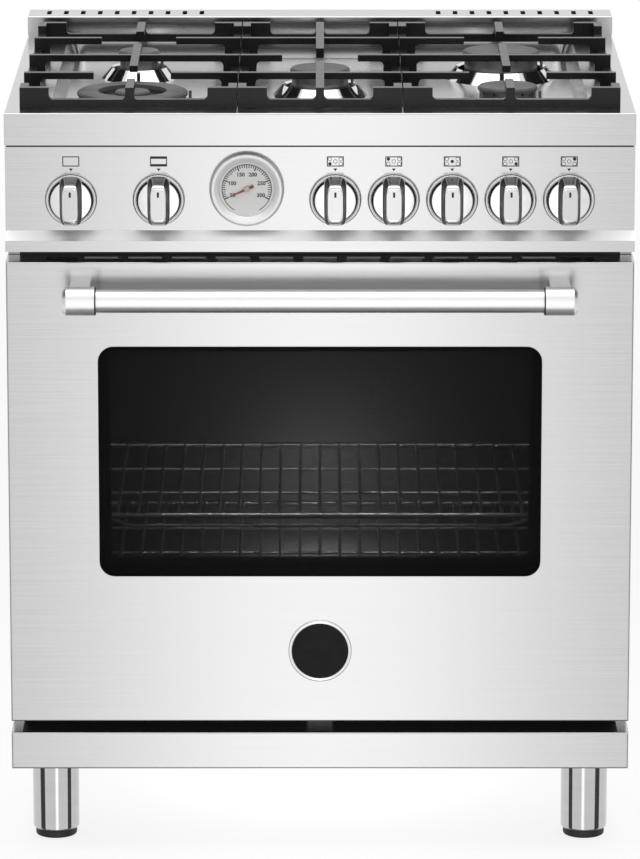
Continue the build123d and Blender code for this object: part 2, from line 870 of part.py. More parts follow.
# Burner cups under the cooktop, each with an igniter pin standing beside its head
with BuildPart() as burner_bases:
    for name, cap_d in single_caps.items():
        x, y = burner_places[name]
        cup_r = cap_d / 2 - cup_step
        turned(x, y, [(0, cup_bottom_z), (cup_r, cup_bottom_z), (cup_r, cup_top_z), (0, cup_top_z)])
    turned(
        dual_x,
        dual_y,
        [
            (0, cup_bottom_z),
            (dual_cup_d / 2, cup_bottom_z),
            (dual_cup_d / 2, basin_z),
            (dual_ring_d / 2 - cup_step, basin_z),
            (dual_ring_d / 2 - cup_step, dual_seat_z),
            (0, dual_seat_z),
        ],
    )
    for name, (x, y) in burner_places.items():
        pin_x = x + single_caps.get(name, dual_ring_d) / 2 + igniter_offset
        with BuildSketch(Plane.XY.offset(basin_z)):
            with Locations((pin_x, y)):
                RegularPolygon(igniter_d / 2, 6)
        extrude(amount=igniter_height)
write(burner_bases, "burner_bases")

# Polished cones that seat on the basin round the single burners
with BuildPart() as burner_trims:
    for name, cap_d in single_caps.items():
        foot_r = cap_d / 2 + trim_foot
        throat_r = cap_d / 2 + trim_throat
        throat_z = basin_z + trim_height
        turned(
            *burner_places[name],
            [
                (foot_r - 2 * trim_sheet, basin_z),
                (foot_r, basin_z),
                (throat_r, throat_z),
                (cap_d / 2 + trim_lip, throat_z - trim_lip_drop),
            ],
        )
write(burner_trims, "burner_trims")

# Ported heads: one crown on each single burner, a ring and a crown on the dual burner
with BuildPart() as burner_heads:
    for name, cap_d in single_caps.items():
        x, y = burner_places[name]
        head_r = cap_d / 2 - cap_overhang
        head_top = single_cap_top_z - cap_thickness
        turned(x, y, [(0, cup_top_z), (head_r, cup_top_z), (head_r, head_top), (0, head_top)])
        cut_ports(x, y, head_r, head_top)
    dual_head_top = dual_cap_top_z - cap_thickness
    for inner, outer in (
        (0, dual_cap_d / 2 - cap_overhang),
        (dual_gap_d / 2 + cap_overhang, dual_ring_d / 2 - cap_overhang),
    ):
        turned(
            dual_x,
            dual_y,
            [(inner, dual_seat_z), (outer, dual_seat_z), (outer, dual_head_top), (inner, dual_head_top)],
        )
        cut_ports(dual_x, dual_y, outer, dual_head_top)
write(burner_heads, "burner_heads")

# Enamelled caps
with BuildPart() as burner_caps:
    for name, cap_d in single_caps.items():
        turned(*burner_places[name], cap_outline(0, cap_d / 2, single_cap_top_z))
    turned(dual_x, dual_y, cap_outline(0, dual_cap_d / 2, dual_cap_top_z))
    turned(dual_x, dual_y, cap_outline(dual_gap_d / 2, dual_ring_d / 2, dual_cap_top_z))
write(burner_caps, "burner_caps")

# Cast pan supports
grate_front_y = front_y + grate_front_depth
grate_rear_y = rear_y - grate_rear_back
grate_top_z = rim_z + grate_height
grate_rail_z = rim_z + grate_rail_rise
basin_x = half_width - basin_side_rim


def bar_across(x0, x1, y):
    """Plan of a bar along X."""
    return (x0, x1, y - grate_bar / 2, y + grate_bar / 2)


def bar_along(x, y0, y1):
    """Plan of a bar along Y."""
    return (x - grate_bar / 2, x + grate_bar / 2, y0, y1)


def cove(plane, right, up):
    """Concave corner of the casting, one bar thick, at the plane's origin in the current part."""
    near = grate_cove * (1 - sqrt(0.5))
    with BuildSketch(plane) as corner:
        with BuildLine():
            Polyline((0, up * grate_cove), (0, 0), (right * grate_cove, 0))
            ThreePointArc((right * grate_cove, 0), (right * near, up * near), (0, up * grate_cove))
        make_face()
    extrude(corner.sketch, amount=grate_bar)


def block(x0, x1, y0, y1, z0, z1):
    """Straight block of the casting in the current part."""
    with BuildSketch(Plane.XY.offset(z0)) as plan:
        rect(x0, x1, y0, y1)
    extrude(plan.sketch, amount=z1 - z0)


def make_grate(x0, x1, bars):
    """Pan support between two sides: low rails on feet, raised corners, bars on gussets and stubs, coved."""
    rail_top_z = grate_rail_z + grate_rail_height
    with BuildPart() as grate:
        block(x0, x1, grate_front_y, grate_rear_y, grate_rail_z, rail_top_z)
        with BuildSketch(Plane.XY.offset(grate_rail_z)):
            rect(x0 + grate_bar, x1 - grate_bar, grate_front_y + grate_bar, grate_rear_y - grate_bar)
        extrude(amount=grate_rail_height, mode=Mode.SUBTRACT)
        for x, inward in ((x0, 1), (x1, -1)):
            rail_x = min(x, x + inward * grate_bar)
            for y, back in ((grate_front_y, 1), (grate_rear_y, -1)):
                rail_y = min(y, y + back * grate_bar)
                over_basin = abs(x) < basin_x and back < 0
                foot_z = basin_z if over_basin else rim_z
                block(rail_x, rail_x + grate_bar, rail_y, rail_y + grate_bar, foot_z, grate_rail_z)
                corner_x = sorted((x, x + inward * grate_corner))
                corner_y = sorted((y, y + back * grate_corner))
                block(*corner_x, rail_y, rail_y + grate_bar, rail_top_z, grate_top_z)
                block(rail_x, rail_x + grate_bar, *corner_y, rail_top_z, grate_top_z)
                cove(facing_front(rail_y + grate_bar, x + inward * grate_corner, rail_top_z), inward, 1)
                cove(Plane((rail_x, y + back * grate_corner, rail_top_z), (0, 1, 0), (1, 0, 0)), back, 1)
        for bar in bars:
            bar_x0, bar_x1, bar_y0, bar_y1 = bar
            is_stub = bar_y0 == grate_front_y or bar_y1 == grate_rear_y
            bar_z = grate_top_z - (grate_stub_height if is_stub else grate_bar_height)
            block(*bar, bar_z, grate_top_z)
            if is_stub:
                rail_y = grate_front_y if bar_y0 == grate_front_y else grate_rear_y - grate_bar
                block(bar_x0, bar_x1, rail_y, rail_y + grate_bar, rail_top_z, bar_z)
                cove(facing_front(rail_y + grate_bar, bar_x0, rail_top_z), -1, 1)
                cove(facing_front(rail_y + grate_bar, bar_x1, rail_top_z), 1, 1)
            if bar_x0 == x0:
                block(x0, x0 + grate_gusset, bar_y0, bar_y1, grate_rail_z, bar_z)
                cove(facing_front(bar_y1, x0 + grate_gusset, bar_z), 1, -1)
            if bar_x1 == x1:
                block(x1 - grate_gusset, x1, bar_y0, bar_y1, grate_rail_z, bar_z)
                cove(facing_front(bar_y1, x1 - grate_gusset, bar_z), -1, -1)
    return grate


split_x = grate_center_width / 2
outer_x = half_width - grate_side_inset
for name, x0, x1 in (
    ("grate_left", -outer_x, -split_x - grate_gap / 2),
    ("grate_right", split_x + grate_gap / 2, outer_x),
):
    x = -burner_x if x0 < 0 else burner_x
    outer_bars = [
        bar_across(x0, x1, middle_row_y),
        bar_along(x, grate_front_y, front_row_y - finger_clear),
        bar_along(x, front_row_y + finger_clear, rear_row_y - finger_clear),
        bar_along(x, rear_row_y + finger_clear, grate_rear_y),
    ]
    for y in (front_row_y, rear_row_y):
        outer_bars.append(bar_across(x0, x - finger_clear, y))
        outer_bars.append(bar_across(x + finger_clear, x1, y))
    write(make_grate(x0, x1, outer_bars), name)

center_x = split_x - grate_gap / 2
center_bars = [
    bar_across(-center_x, center_x, front_row_y),
    bar_across(-center_x, center_x, rear_row_y),
    bar_across(-center_x, -finger_clear, middle_row_y),
    bar_across(finger_clear, center_x, middle_row_y),
    bar_along(0, grate_front_y, middle_row_y - finger_clear),
    bar_along(0, middle_row_y + finger_clear, grate_rear_y),
]
write(make_grate(-center_x, center_x, center_bars), "grate_center")

# Oven: enamelled liner open at the front, with a hole for the bake burner's tube
liner_mouth = (cavity_x + liner_sheet, cavity_bottom - liner_sheet, cavity_top + liner_sheet)
liner_back_y = cavity_rear_y + liner_sheet
wrap_back_y = liner_back_y + insulation
with BuildPart() as oven_liner:
    with BuildSketch(facing_front(liner_back_y)):
        rect(-liner_mouth[0], liner_mouth[0], liner_mouth[1], liner_mouth[2])
    extrude(amount=liner_back_y - frame_back_y)
    with BuildSketch(facing_front(cavity_rear_y)):
        rect(-cavity_x, cavity_x, cavity_bottom, cavity_top)
    extrude(amount=cavity_rear_y - frame_back_y, mode=Mode.SUBTRACT)
    with BuildSketch(facing_front(liner_back_y)):
        with Locations((-bake_half_width, bake_z)):
            Circle(bake_tube_d / 2 + hole_clearance)
    extrude(amount=liner_sheet, mode=Mode.SUBTRACT)
write(oven_liner, "oven_liner")

# Oven: blanket wrapped round the liner
with BuildPart() as oven_insulation:
    with BuildSketch(facing_front(wrap_back_y)):
        rect(
            -liner_mouth[0] - insulation,
            liner_mouth[0] + insulation,
            liner_mouth[1] - insulation,
            liner_mouth[2] + insulation,
        )
    extrude(amount=wrap_back_y - frame_back_y)
    with BuildSketch(facing_front(liner_back_y)):
        rect(-liner_mouth[0], liner_mouth[0], liner_mouth[1], liner_mouth[2])
    extrude(amount=liner_back_y - frame_back_y, mode=Mode.SUBTRACT)
    with BuildSketch(facing_front(wrap_back_y)):
        with Locations((-bake_half_width, bake_z)):
            Circle(bake_tube_d / 2 + hole_clearance)
    extrude(amount=insulation, mode=Mode.SUBTRACT)
write(oven_insulation, "oven_insulation")

# Oven: lift-out floor with heat slots along both sides
with BuildPart() as oven_floor:
    floor_x = cavity_x - edge_inset
    floor_front_y = frame_back_y + edge_inset
    floor_back_y = cavity_rear_y - edge_inset
    with BuildSketch(facing_front(floor_back_y)):
        rect(-floor_x, floor_x, cavity_bottom, oven_floor_z)
        rect(-floor_x + sheet, floor_x - sheet, cavity_bottom, oven_floor_z - sheet, mode=Mode.SUBTRACT)
    extrude(amount=floor_back_y - floor_front_y)
    with BuildSketch(Plane.XY.offset(oven_floor_z)):
        for x in (-floor_x + oven_floor_slot_inset, floor_x - oven_floor_slot_inset):
            with Locations((x, (floor_front_y + floor_back_y) / 2)):
                Rectangle(oven_floor_slot, oven_floor_slot_length)
    extrude(amount=-sheet, mode=Mode.SUBTRACT)
write(oven_floor, "oven_floor")

# Oven: U-shaped bake tube under the floor and a slotted broiler under the roof
with BuildPart() as oven_burners:
    bake_front_y = frame_back_y + bake_front_gap
    mitred_rod(
        [
            (-bake_half_width, bake_end_y + bake_tube_d, bake_z),
            (-bake_half_width, bake_front_y, bake_z),
            (bake_half_width, bake_front_y, bake_z),
            (bake_half_width, cavity_rear_y - bake_tube_d, bake_z),
        ],
        bake_tube_d,
    )
    broil_length = cavity_rear_y - broil_rear_gap - frame_back_y - broil_front_gap
    broil_y = frame_back_y + broil_front_gap + broil_length / 2
    with BuildSketch(Plane.XY.offset(cavity_top - broil_height)):
        with Locations((0, broil_y)):
            Rectangle(broil_width, broil_length)
    extrude(amount=broil_height)
    with BuildSketch(Plane.XY.offset(cavity_top - broil_height)):
        with Locations((0, broil_y)):
            with GridLocations(broil_slot_pitch, broil_length, int(broil_width // broil_slot_pitch) - 1, 1):
                Rectangle(broil_slot_pitch / 3, broil_length - 2 * broil_slot_pitch)
    extrude(amount=broil_height / 4, mode=Mode.SUBTRACT)
write(oven_burners, "oven_burners")

# Oven: lamp with a bevelled glass cover on the rear wall
with BuildPart() as oven_lamp:
    lamp_x = cavity_x - lamp_corner
    lamp_z = cavity_top - lamp_corner
    with BuildSketch(facing_front(cavity_rear_y, lamp_x, lamp_z)):
        Rectangle(lamp_width, lamp_height)
    extrude(amount=lamp_reach)
    chamfer(oven_lamp.faces().sort_by(Axis.Y)[0].edges(), lamp_bevel)
write(oven_lamp, "oven_lamp")

# Oven: wire guides on the side walls, one rail for each rack level
guide_post_x = cavity_x - guide_post_gap
guide_rail_x = cavity_x - guide_reach
guide_front_y = frame_back_y + guide_end_gap
guide_back_y = cavity_rear_y - guide_end_gap
rail_zs = [lowest_rail_z + rack_pitch * level for level in range(rack_levels)]
with BuildPart() as rack_guides:
    post_bottom_z = rail_zs[0] - guide_reach
    post_top_z = rail_zs[-1] + guide_reach
    for y in (guide_front_y, guide_back_y):
        with BuildSketch(Plane.XY.offset(post_bottom_z)):
            with Locations((guide_post_x, y)):
                RegularPolygon(guide_wire / 2, 6)
        extrude(amount=post_top_z - post_bottom_z)
        with BuildSketch(Plane.YZ.offset(cavity_x)):
            with Locations((y, post_bottom_z), (y, post_top_z)):
                RegularPolygon(guide_stud_d / 2, 6)
        extrude(amount=-guide_post_gap - guide_wire / 2)
    for z in rail_zs:
        mitred_rod(
            [
                (guide_post_x, guide_front_y, z),
                (guide_rail_x, guide_front_y, z),
                (guide_rail_x, guide_back_y, z),
                (guide_post_x, guide_back_y, z),
            ],
            guide_wire,
        )
    mirror(about=Plane.YZ)
write(rack_guides, "rack_guides")


def make_rack(rail_z):
    """Rack: frame with a dropped front lip, a row of rods between its bars and cross wires under them."""
    x = guide_rail_x
    z = rail_z + guide_wire / 2 + rack_wire / 2 + body_gap
    rack_front_y = frame_back_y + rack_front_gap
    rack_back_y = cavity_rear_y - rack_rear_gap
    cross_pitch = (rack_back_y - rack_front_y) / (rack_cross_count + 1)
    rod_count = int(2 * (x - rack_corner) // rack_rod_pitch)
    with BuildPart() as rack:
        inner = rack_wire / 2
        with BuildSketch(Plane.XY.offset(z - rack_wire / 2)):
            rect(-x - inner, x + inner, rack_front_y - inner, rack_back_y + inner)
            rect(-x + inner, x - inner, rack_front_y + inner, rack_back_y - inner, mode=Mode.SUBTRACT)
        extrude(amount=rack_wire)
        lip_x = x - rack_corner
        low_x = lip_x - 2 * rack_lip_drop
        mitred_rod(
            [
                (-lip_x, rack_front_y, z),
                (-low_x, rack_front_y, z - rack_lip_drop),
                (low_x, rack_front_y, z - rack_lip_drop),
                (lip_x, rack_front_y, z),
            ],
            rack_lip_wire,
        )
        with BuildSketch(Plane.XY.offset(z + rack_wire / 2 - rack_rod)):
            with Locations((0, (rack_front_y + rack_back_y) / 2)):
                with GridLocations(rack_rod_pitch, rack_rod, rod_count, 1):
                    Rectangle(rack_rod, rack_back_y - rack_front_y)
        extrude(amount=rack_rod)
        with BuildSketch(Plane.XY.offset(z - rack_wire / 2)):
            for step in range(rack_cross_count):
                with Locations((0, rack_front_y + cross_pitch * (step + 1))):
                    Rectangle(2 * x, rack_cross_wire)
        extrude(amount=rack_wire - rack_rod)
    return rack


write(make_rack(rail_zs[upper_rack_level]), "rack_upper")
write(make_rack(rail_zs[lower_rack_level]), "rack_lower")

# Oven: gasket round the mouth, just short of the closed door
with BuildPart() as door_gasket:
    gasket_back_y = frame_back_y - frame_sheet
    with BuildSketch(facing_front(gasket_back_y)):
        for grow, mode in ((gasket_margin + gasket_width, Mode.ADD), (gasket_margin, Mode.SUBTRACT)):
            with Locations((0, (cavity_bottom + cavity_top) / 2)):
                RectangleRounded(
                    2 * (cavity_x + grow), cavity_top - cavity_bottom + 2 * grow, grow, mode=mode
                )
    extrude(amount=gasket_back_y - door_back_y - body_gap)
write(door_gasket, "door_gasket")

# Door: outer pan with the window, and the notches that the hinge arms swing through
notch_x = hinge_arm_thickness / 2 + swing_gap
notch_front_y = hinge_y - hinge_nose_d / 2 - swing_gap
notch_top_z = hinge_z + hinge_nose_d / 2 + swing_gap
door_inner_x = half_width - sheet
with BuildPart() as door_skin:
    with BuildSketch(facing_front(door_back_y)):
        rect(-half_width, half_width, door_bottom, door_top)
    extrude(amount=door_thickness)
    fillet(door_skin.faces().sort_by(Axis.Y)[0].edges(), edge_round)
    with BuildSketch(facing_front(door_back_y)):
        rect(-door_inner_x, door_inner_x, door_bottom + sheet, door_top - sheet)
    extrude(amount=door_thickness - sheet, mode=Mode.SUBTRACT)
    with BuildSketch(facing_front(front_y + sheet)):
        with Locations((0, window_z)):
            RectangleRounded(2 * window_x, window_height, window_corner)
    extrude(amount=sheet, mode=Mode.SUBTRACT)
    with BuildSketch(Plane.XY.offset(door_bottom)):
        for x in (-hinge_x, hinge_x):
            rect(x - notch_x, x + notch_x, notch_front_y, door_back_y)
    extrude(amount=sheet, mode=Mode.SUBTRACT)
write(door_skin, "door_skin")

# Door: inner panel with a flanged window
inner_window_x = window_x - inner_window_inset
inner_window_height = window_height - 2 * inner_window_inset
with BuildPart() as door_inner_panel:
    with BuildSketch(facing_front(door_back_y)):
        rect(-door_inner_x, door_inner_x, door_bottom + sheet, door_top - sheet)
        for x in (-hinge_x, hinge_x):
            rect(x - notch_x, x + notch_x, door_bottom, notch_top_z, mode=Mode.SUBTRACT)
    extrude(amount=sheet)
    with BuildSketch(facing_front(door_back_y)):
        with Locations((0, window_z)):
            Rectangle(2 * (inner_window_x + sheet), inner_window_height + 2 * sheet)
    extrude(amount=sheet + inner_flange)
    with BuildSketch(facing_front(door_back_y)):
        with Locations((0, window_z)):
            Rectangle(2 * inner_window_x, inner_window_height)
    extrude(amount=sheet + inner_flange, mode=Mode.SUBTRACT)
write(door_inner_panel, "door_inner_panel")

# Door: dark outer glass behind the skin, clear inner glass on the inner flange
with BuildPart() as door_outer_glass:
    with BuildSketch(facing_front(front_y + sheet + outer_glass)):
        with Locations((0, window_z)):
            Rectangle(2 * (window_x + outer_glass_lap), window_height + 2 * outer_glass_lap)
    extrude(amount=outer_glass)
write(door_outer_glass, "door_outer_glass")

with BuildPart() as door_inner_glass:
    with BuildSketch(facing_front(door_back_y - sheet - inner_flange)):
        with Locations((0, window_z)):
            Rectangle(
                2 * (inner_window_x + inner_glass_lap), inner_window_height + 2 * inner_glass_lap
            )
    extrude(amount=inner_glass)
write(door_inner_glass, "door_inner_glass")

# Door: round plate with a raised rim
with BuildPart() as door_emblem:
    emblem_z = door_bottom + emblem_rise
    with BuildSketch(lathe_forward(0, front_y, emblem_z)):
        rect(0, emblem_d / 2, 0, emblem_plate)
        rect(emblem_d / 2 - emblem_ring, emblem_d / 2, 0, emblem_ring_height)
    revolve(axis=forward_axis(0, emblem_z))
write(door_emblem, "door_emblem")

# Handle: round bar
with BuildPart() as handle_bar:
    with BuildSketch(Plane.YZ.offset(-handle_bar_x)):
        with Locations((handle_y, handle_z)):
            Circle(handle_d / 2)
    extrude(amount=2 * handle_bar_x)
write(handle_bar, "handle_bar")

# Handle: end pieces on stems that stand on the door
with BuildPart() as handle_ends:
    with BuildSketch(Plane.YZ.offset(handle_bar_x)):
        with Locations((handle_y, handle_z)):
            Circle(handle_end_d / 2)
    extrude(amount=handle_end_length)
    chamfer(handle_ends.faces().sort_by(Axis.X)[-1].edges(), handle_end_chamfer)
    with BuildSketch(facing_front(front_y, handle_end_x - handle_end_length / 2, handle_z)):
        Rectangle(handle_stem, handle_stem)
    extrude(amount=handle_standoff)
    mirror(about=Plane.YZ)
write(handle_ends, "handle_ends")

# Hinges: cheeks in the door with the pins they turn on
cheek_x = hinge_arm_thickness / 2 + swing_gap
with BuildPart() as door_hinges:
    cheek_front_y = front_y + sheet
    cheek_back_y = door_back_y - sheet - hinge_cheek_rear_gap
    cheek_bottom_z = door_bottom + sheet
    cheek_top_z = cheek_bottom_z + hinge_cheek_height
    for start in (-cheek_x - hinge_cheek, cheek_x):
        with BuildSketch(Plane.YZ.offset(hinge_x + start)):
            rect(cheek_front_y, cheek_back_y, cheek_bottom_z, cheek_top_z)
            with Locations((hinge_y, hinge_z)):
                Circle(hinge_pin_d / 2 + joint_gap, mode=Mode.SUBTRACT)
        extrude(amount=hinge_cheek)
    with BuildSketch(facing_front(cheek_front_y + hinge_cheek, hinge_x)):
        rect(-cheek_x, cheek_x, cheek_bottom_z + hinge_web_lift, cheek_top_z)
    extrude(amount=hinge_cheek)
    pin_x = cheek_x + hinge_cheek + hinge_pin_end
    with BuildSketch(Plane.YZ.offset(hinge_x - pin_x)):
        with Locations((hinge_y, hinge_z)):
            Circle(hinge_pin_d / 2)
    extrude(amount=2 * pin_x)
    mirror(about=Plane.YZ)
write(door_hinges, "door_hinges")

# Hinges: arms on the back of the front frame that carry the pins
with BuildPart() as hinge_arms:
    nose_r = hinge_nose_d / 2
    plate_back_y = frame_back_y + hinge_plate
    with BuildSketch(Plane.YZ.offset(hinge_x - hinge_arm_thickness / 2)):
        with Locations((hinge_y, hinge_z)):
            Circle(nose_r)
        rect(hinge_y, plate_back_y, hinge_z - nose_r, hinge_z + nose_r)
        with BuildLine():
            Polyline(
                (plate_back_y, hinge_z - hinge_plate_height / 2),
                (plate_back_y, hinge_z + hinge_plate_height / 2),
                (plate_back_y + hinge_tail, hinge_z + nose_r),
                (plate_back_y + hinge_tail, hinge_z - nose_r),
                close=True,
            )
        make_face()
        with Locations((hinge_y, hinge_z)):
            Circle(hinge_pin_d / 2 + run_fit, mode=Mode.SUBTRACT)
    extrude(amount=hinge_arm_thickness)
    with BuildSketch(facing_front(plate_back_y, hinge_x, hinge_z)):
        Rectangle(hinge_plate_width, hinge_plate_height)
    extrude(amount=hinge_plate)
    mirror(about=Plane.YZ)
write(hinge_arms, "hinge_arms")
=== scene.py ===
"""Finishes, printed signs and rounded forms of a freestanding gas range, laid out as an add-on."""

import math

import bmesh
import bpy
import numpy as np
from bpy.props import FloatProperty, FloatVectorProperty, IntProperty, PointerProperty
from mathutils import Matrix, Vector


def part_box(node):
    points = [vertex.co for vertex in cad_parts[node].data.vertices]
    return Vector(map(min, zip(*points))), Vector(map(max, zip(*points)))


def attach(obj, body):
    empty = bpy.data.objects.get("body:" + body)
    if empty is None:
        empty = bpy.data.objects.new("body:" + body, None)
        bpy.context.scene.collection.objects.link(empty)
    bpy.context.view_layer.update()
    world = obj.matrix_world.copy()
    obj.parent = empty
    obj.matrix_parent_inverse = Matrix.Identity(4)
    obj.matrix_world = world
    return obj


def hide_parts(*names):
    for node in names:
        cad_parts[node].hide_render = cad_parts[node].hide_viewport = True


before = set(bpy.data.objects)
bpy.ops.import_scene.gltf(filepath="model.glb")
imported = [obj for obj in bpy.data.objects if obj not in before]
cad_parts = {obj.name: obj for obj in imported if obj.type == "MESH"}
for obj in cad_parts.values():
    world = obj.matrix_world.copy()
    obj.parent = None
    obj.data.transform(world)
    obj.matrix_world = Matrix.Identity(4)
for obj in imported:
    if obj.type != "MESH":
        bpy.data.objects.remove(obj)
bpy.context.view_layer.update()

bl_info = {
    "name": "Freestanding gas range",
    "version": (1, 0, 0),
    "blender": (4, 5, 0),
    "location": "3D View > Sidebar > Range",
    "description": "Dresses the packed range with its finishes, signs and turned pieces",
    "category": "Object",
}

BURNERS = ("front_left", "rear_left", "center", "front_right", "rear_right")
GAS_KNOBS = ("oven",) + tuple(f"burner_{name}" for name in BURNERS)
KNOBS = ("selector",) + GAS_KNOBS
FEET = ("front_left", "front_right", "rear_left", "rear_right")
FRONT = np.array([0.0, -1.0, 0.0])
UP = np.array([0.0, 0.0, 1.0])
ACROSS = np.array([1.0, 0.0, 0.0])

KICK_GAP = 0.014  # between the kick panel's top and the door's lower edge
DISC_RISE = 0.0097  # thickness of a knob's disc
GRIP_SINK = 0.0015  # depth of a knob's bar in its disc
POINTER_HALF, POINTER_LOW, POINTER_HIGH = 0.0013, 0.0092, 0.0156  # mark on a knob's bar
CORNER_SHARE = 0.48  # most of a side that one rounded corner may take
PRINT_WEIGHT = 0.035  # share of a letter's size by which its strokes are thickened
MERGE, MERGE_CAD = 1e-6, 2e-6  # points this near become one, in new meshes and in copies of CAD nodes
SLIVER = 1e-7  # faces this thin are dissolved


# Surfaces as arrays


def grid_faces(rows, columns, wrap_rows=False, wrap_columns=False):
    """Quads between neighbouring rows and columns of a grid numbered row by row.

    A wrapped side closes on itself.
    """
    r = np.arange(rows if wrap_rows else rows - 1)
    c = np.arange(columns if wrap_columns else columns - 1)
    r, c = np.meshgrid(r, c, indexing="ij")
    down, right = (r + 1) % rows, (c + 1) % columns
    corners = (r * columns + c, r * columns + right, down * columns + right, down * columns + c)
    return np.stack(corners, -1).reshape(-1, 4)


def rounded(points, radius, steps=7):
    """Outline whose inner corners become curves.

    At each corner a parabola runs between two points that lie the radius before and after it.
    """
    p = np.asarray(points, float)
    back, ahead = p[:-2] - p[1:-1], p[2:] - p[1:-1]
    back_length = np.linalg.norm(back, axis=1)
    ahead_length = np.linalg.norm(ahead, axis=1)
    most = CORNER_SHARE * np.minimum(back_length, ahead_length)
    reach = np.minimum(np.broadcast_to(radius, len(p) - 2), most)
    start = p[1:-1] + back * (reach / back_length)[:, None]
    end = p[1:-1] + ahead * (reach / ahead_length)[:, None]
    t = np.linspace(0.0, 1.0, steps)[None, :, None]
    curve = (1 - t) ** 2 * start[:, None] + 2 * t * (1 - t) * p[1:-1, None] + t**2 * end[:, None]
    return np.concatenate([p[:1], curve.reshape(-1, p.shape[1]), p[-1:]])


def cross_axes(axis):
    """Two unit vectors square to an axis and to each other."""
    axis = np.asarray(axis, float)
    helper = UP if abs(axis[2]) < 0.9 else ACROSS
    u = np.cross(helper, axis)
    u /= np.linalg.norm(u)
    return u, np.cross(axis, u)


def lathe(profile, centre, axis, turns):
    """Profile of (radius, height) turned round an axis.

    A point is centre + height * axis + radius * (cos t * u + sin t * v).
    """
    p = np.asarray(profile, float)
    axis = np.asarray(axis, float)
    u, v = cross_axes(axis)
    t = np.linspace(0.0, 2 * np.pi, turns, endpoint=False)
    ring = np.cos(t)[:, None] * u + np.sin(t)[:, None] * v
    points = np.asarray(centre) + p[:, 1, None, None] * axis + p[:, 0, None, None] * ring[None]
    return points.reshape(-1, 3), grid_faces(len(p), turns, wrap_columns=True)


def turned_block(radius, low, high, edges):
    """Profile of a solid round block between two heights, with its two edges rounded."""
    return rounded([(0.0, low), (radius, low), (radius, high), (0.0, high)], edges)


def turned_band(inner, outer, low, high):
    """Closed profile of a square-edged band between two radii and two heights."""
    return [(inner, low), (outer, low), (outer, high), (inner, high), (inner, low)]


def turned_dome(radius, wall, rise, steps):
    """Profile of a button: an upright wall under a quarter ellipse."""
    angle = np.linspace(0.0, np.pi / 2, steps)
    dome = np.stack([radius * np.cos(angle), wall + rise * np.sin(angle)], -1)
    return np.concatenate([[(0.0, 0.0), (radius, 0.0)], dome])


def crested_ring(inner, outer, rise, shoulder, crest, dish, edges, steps=7):
    """Closed profile of a ring: outer wall, shoulder, rounded crest, inner side that dips by the dish."""
    section = [
        (inner, 0.0),
        (outer, 0.0),
        (outer, rise - shoulder),
        (outer - crest, rise),
        (inner, rise - dish),
        (inner, 0.0),
    ]
    return rounded(section, edges, steps)


def tube(path, radius, normal, sides, closed=False):
    """Circle carried along a flat path: path + radius * (cos t * side + sin t * normal).

    An open tube has closed ends.
    """
    p = np.asarray(path, float)
    if closed:
        along = np.roll(p, -1, 0) - np.roll(p, 1, 0)
    else:
        along = np.gradient(p, axis=0)
    along /= np.linalg.norm(along, axis=1)[:, None]
    normal = np.asarray(normal, float)
    side = np.cross(along, normal)
    t = np.linspace(0.0, 2 * np.pi, sides, endpoint=False)
    circle = np.cos(t)[None, :, None] * side[:, None] + np.sin(t)[None, :, None] * normal
    points = p[:, None] + radius * circle
    if not closed:
        first, last = np.repeat(p[:1, None], sides, 1), np.repeat(p[-1:, None], sides, 1)
        points = np.concatenate([first, points, last])
    return points.reshape(-1, 3), grid_faces(len(points), sides, closed, True)


def repeated(shell, offsets):
    """The same shell at each of a row of offsets, as one shell."""
    points, faces = shell
    offsets = np.asarray(offsets, float)
    placed = (points[None] + offsets[:, None]).reshape(-1, 3)
    starts = (np.arange(len(offsets)) * len(points))[:, None, None]
    return placed, (faces[None] + starts).reshape(-1, faces.shape[1])


def drawn_across(section, x0, x1):
    """Section of (y, z) points at both ends of a run along X."""
    y, z = np.asarray(section, float).T
    return np.stack([np.repeat([x0, x1], len(y)), np.tile(y, 2), np.tile(z, 2)], -1)


def upright(x, y, z):
    """Points on the upright plane at y, from two arrays of one shape."""
    return np.stack([x, np.full(np.shape(x), y), z], -1).reshape(-1, 3)


def loose_quads(points):
    """Shell whose points are taken four by four, each four a face."""
    return points, np.arange(len(points)).reshape(-1, 4)


def arc_points(x, z, radius, start, end, steps):
    """(x, z) points on an arc; angles in degrees, anticlockwise from the right."""
    t = np.radians(np.linspace(start, end, steps))
    return np.stack([x + radius * np.cos(t), z + radius * np.sin(t)], -1)


def printed_ring(x, z, outer, inner, y, start=0.0, end=360.0, steps=25):
    """Flat ring or ring sector on an upright plane: quads between two arcs."""
    rows = np.stack([arc_points(x, z, radius, start, end, steps) for radius in (outer, inner)])
    return upright(rows[..., 0], y, rows[..., 1]), grid_faces(2, steps)


def printed_boxes(boxes, y):
    """Flat rectangles (x0, x1, z0, z1) on an upright plane, as one shell."""
    b = np.asarray(boxes, float)
    return loose_quads(upright(b[:, [0, 1, 1, 0]], y, b[:, [2, 2, 3, 3]]))


def printed_frame(x0, x1, z0, z1, line, y):
    """Outline of a rectangle drawn with four thin boxes."""
    boxes = [
        (x0, x1, z0, z0 + line),
        (x0, x1, z1 - line, z1),
        (x0, x0 + line, z0 + line, z1 - line),
        (x1 - line, x1, z0 + line, z1 - line),
    ]
    return printed_boxes(boxes, y)


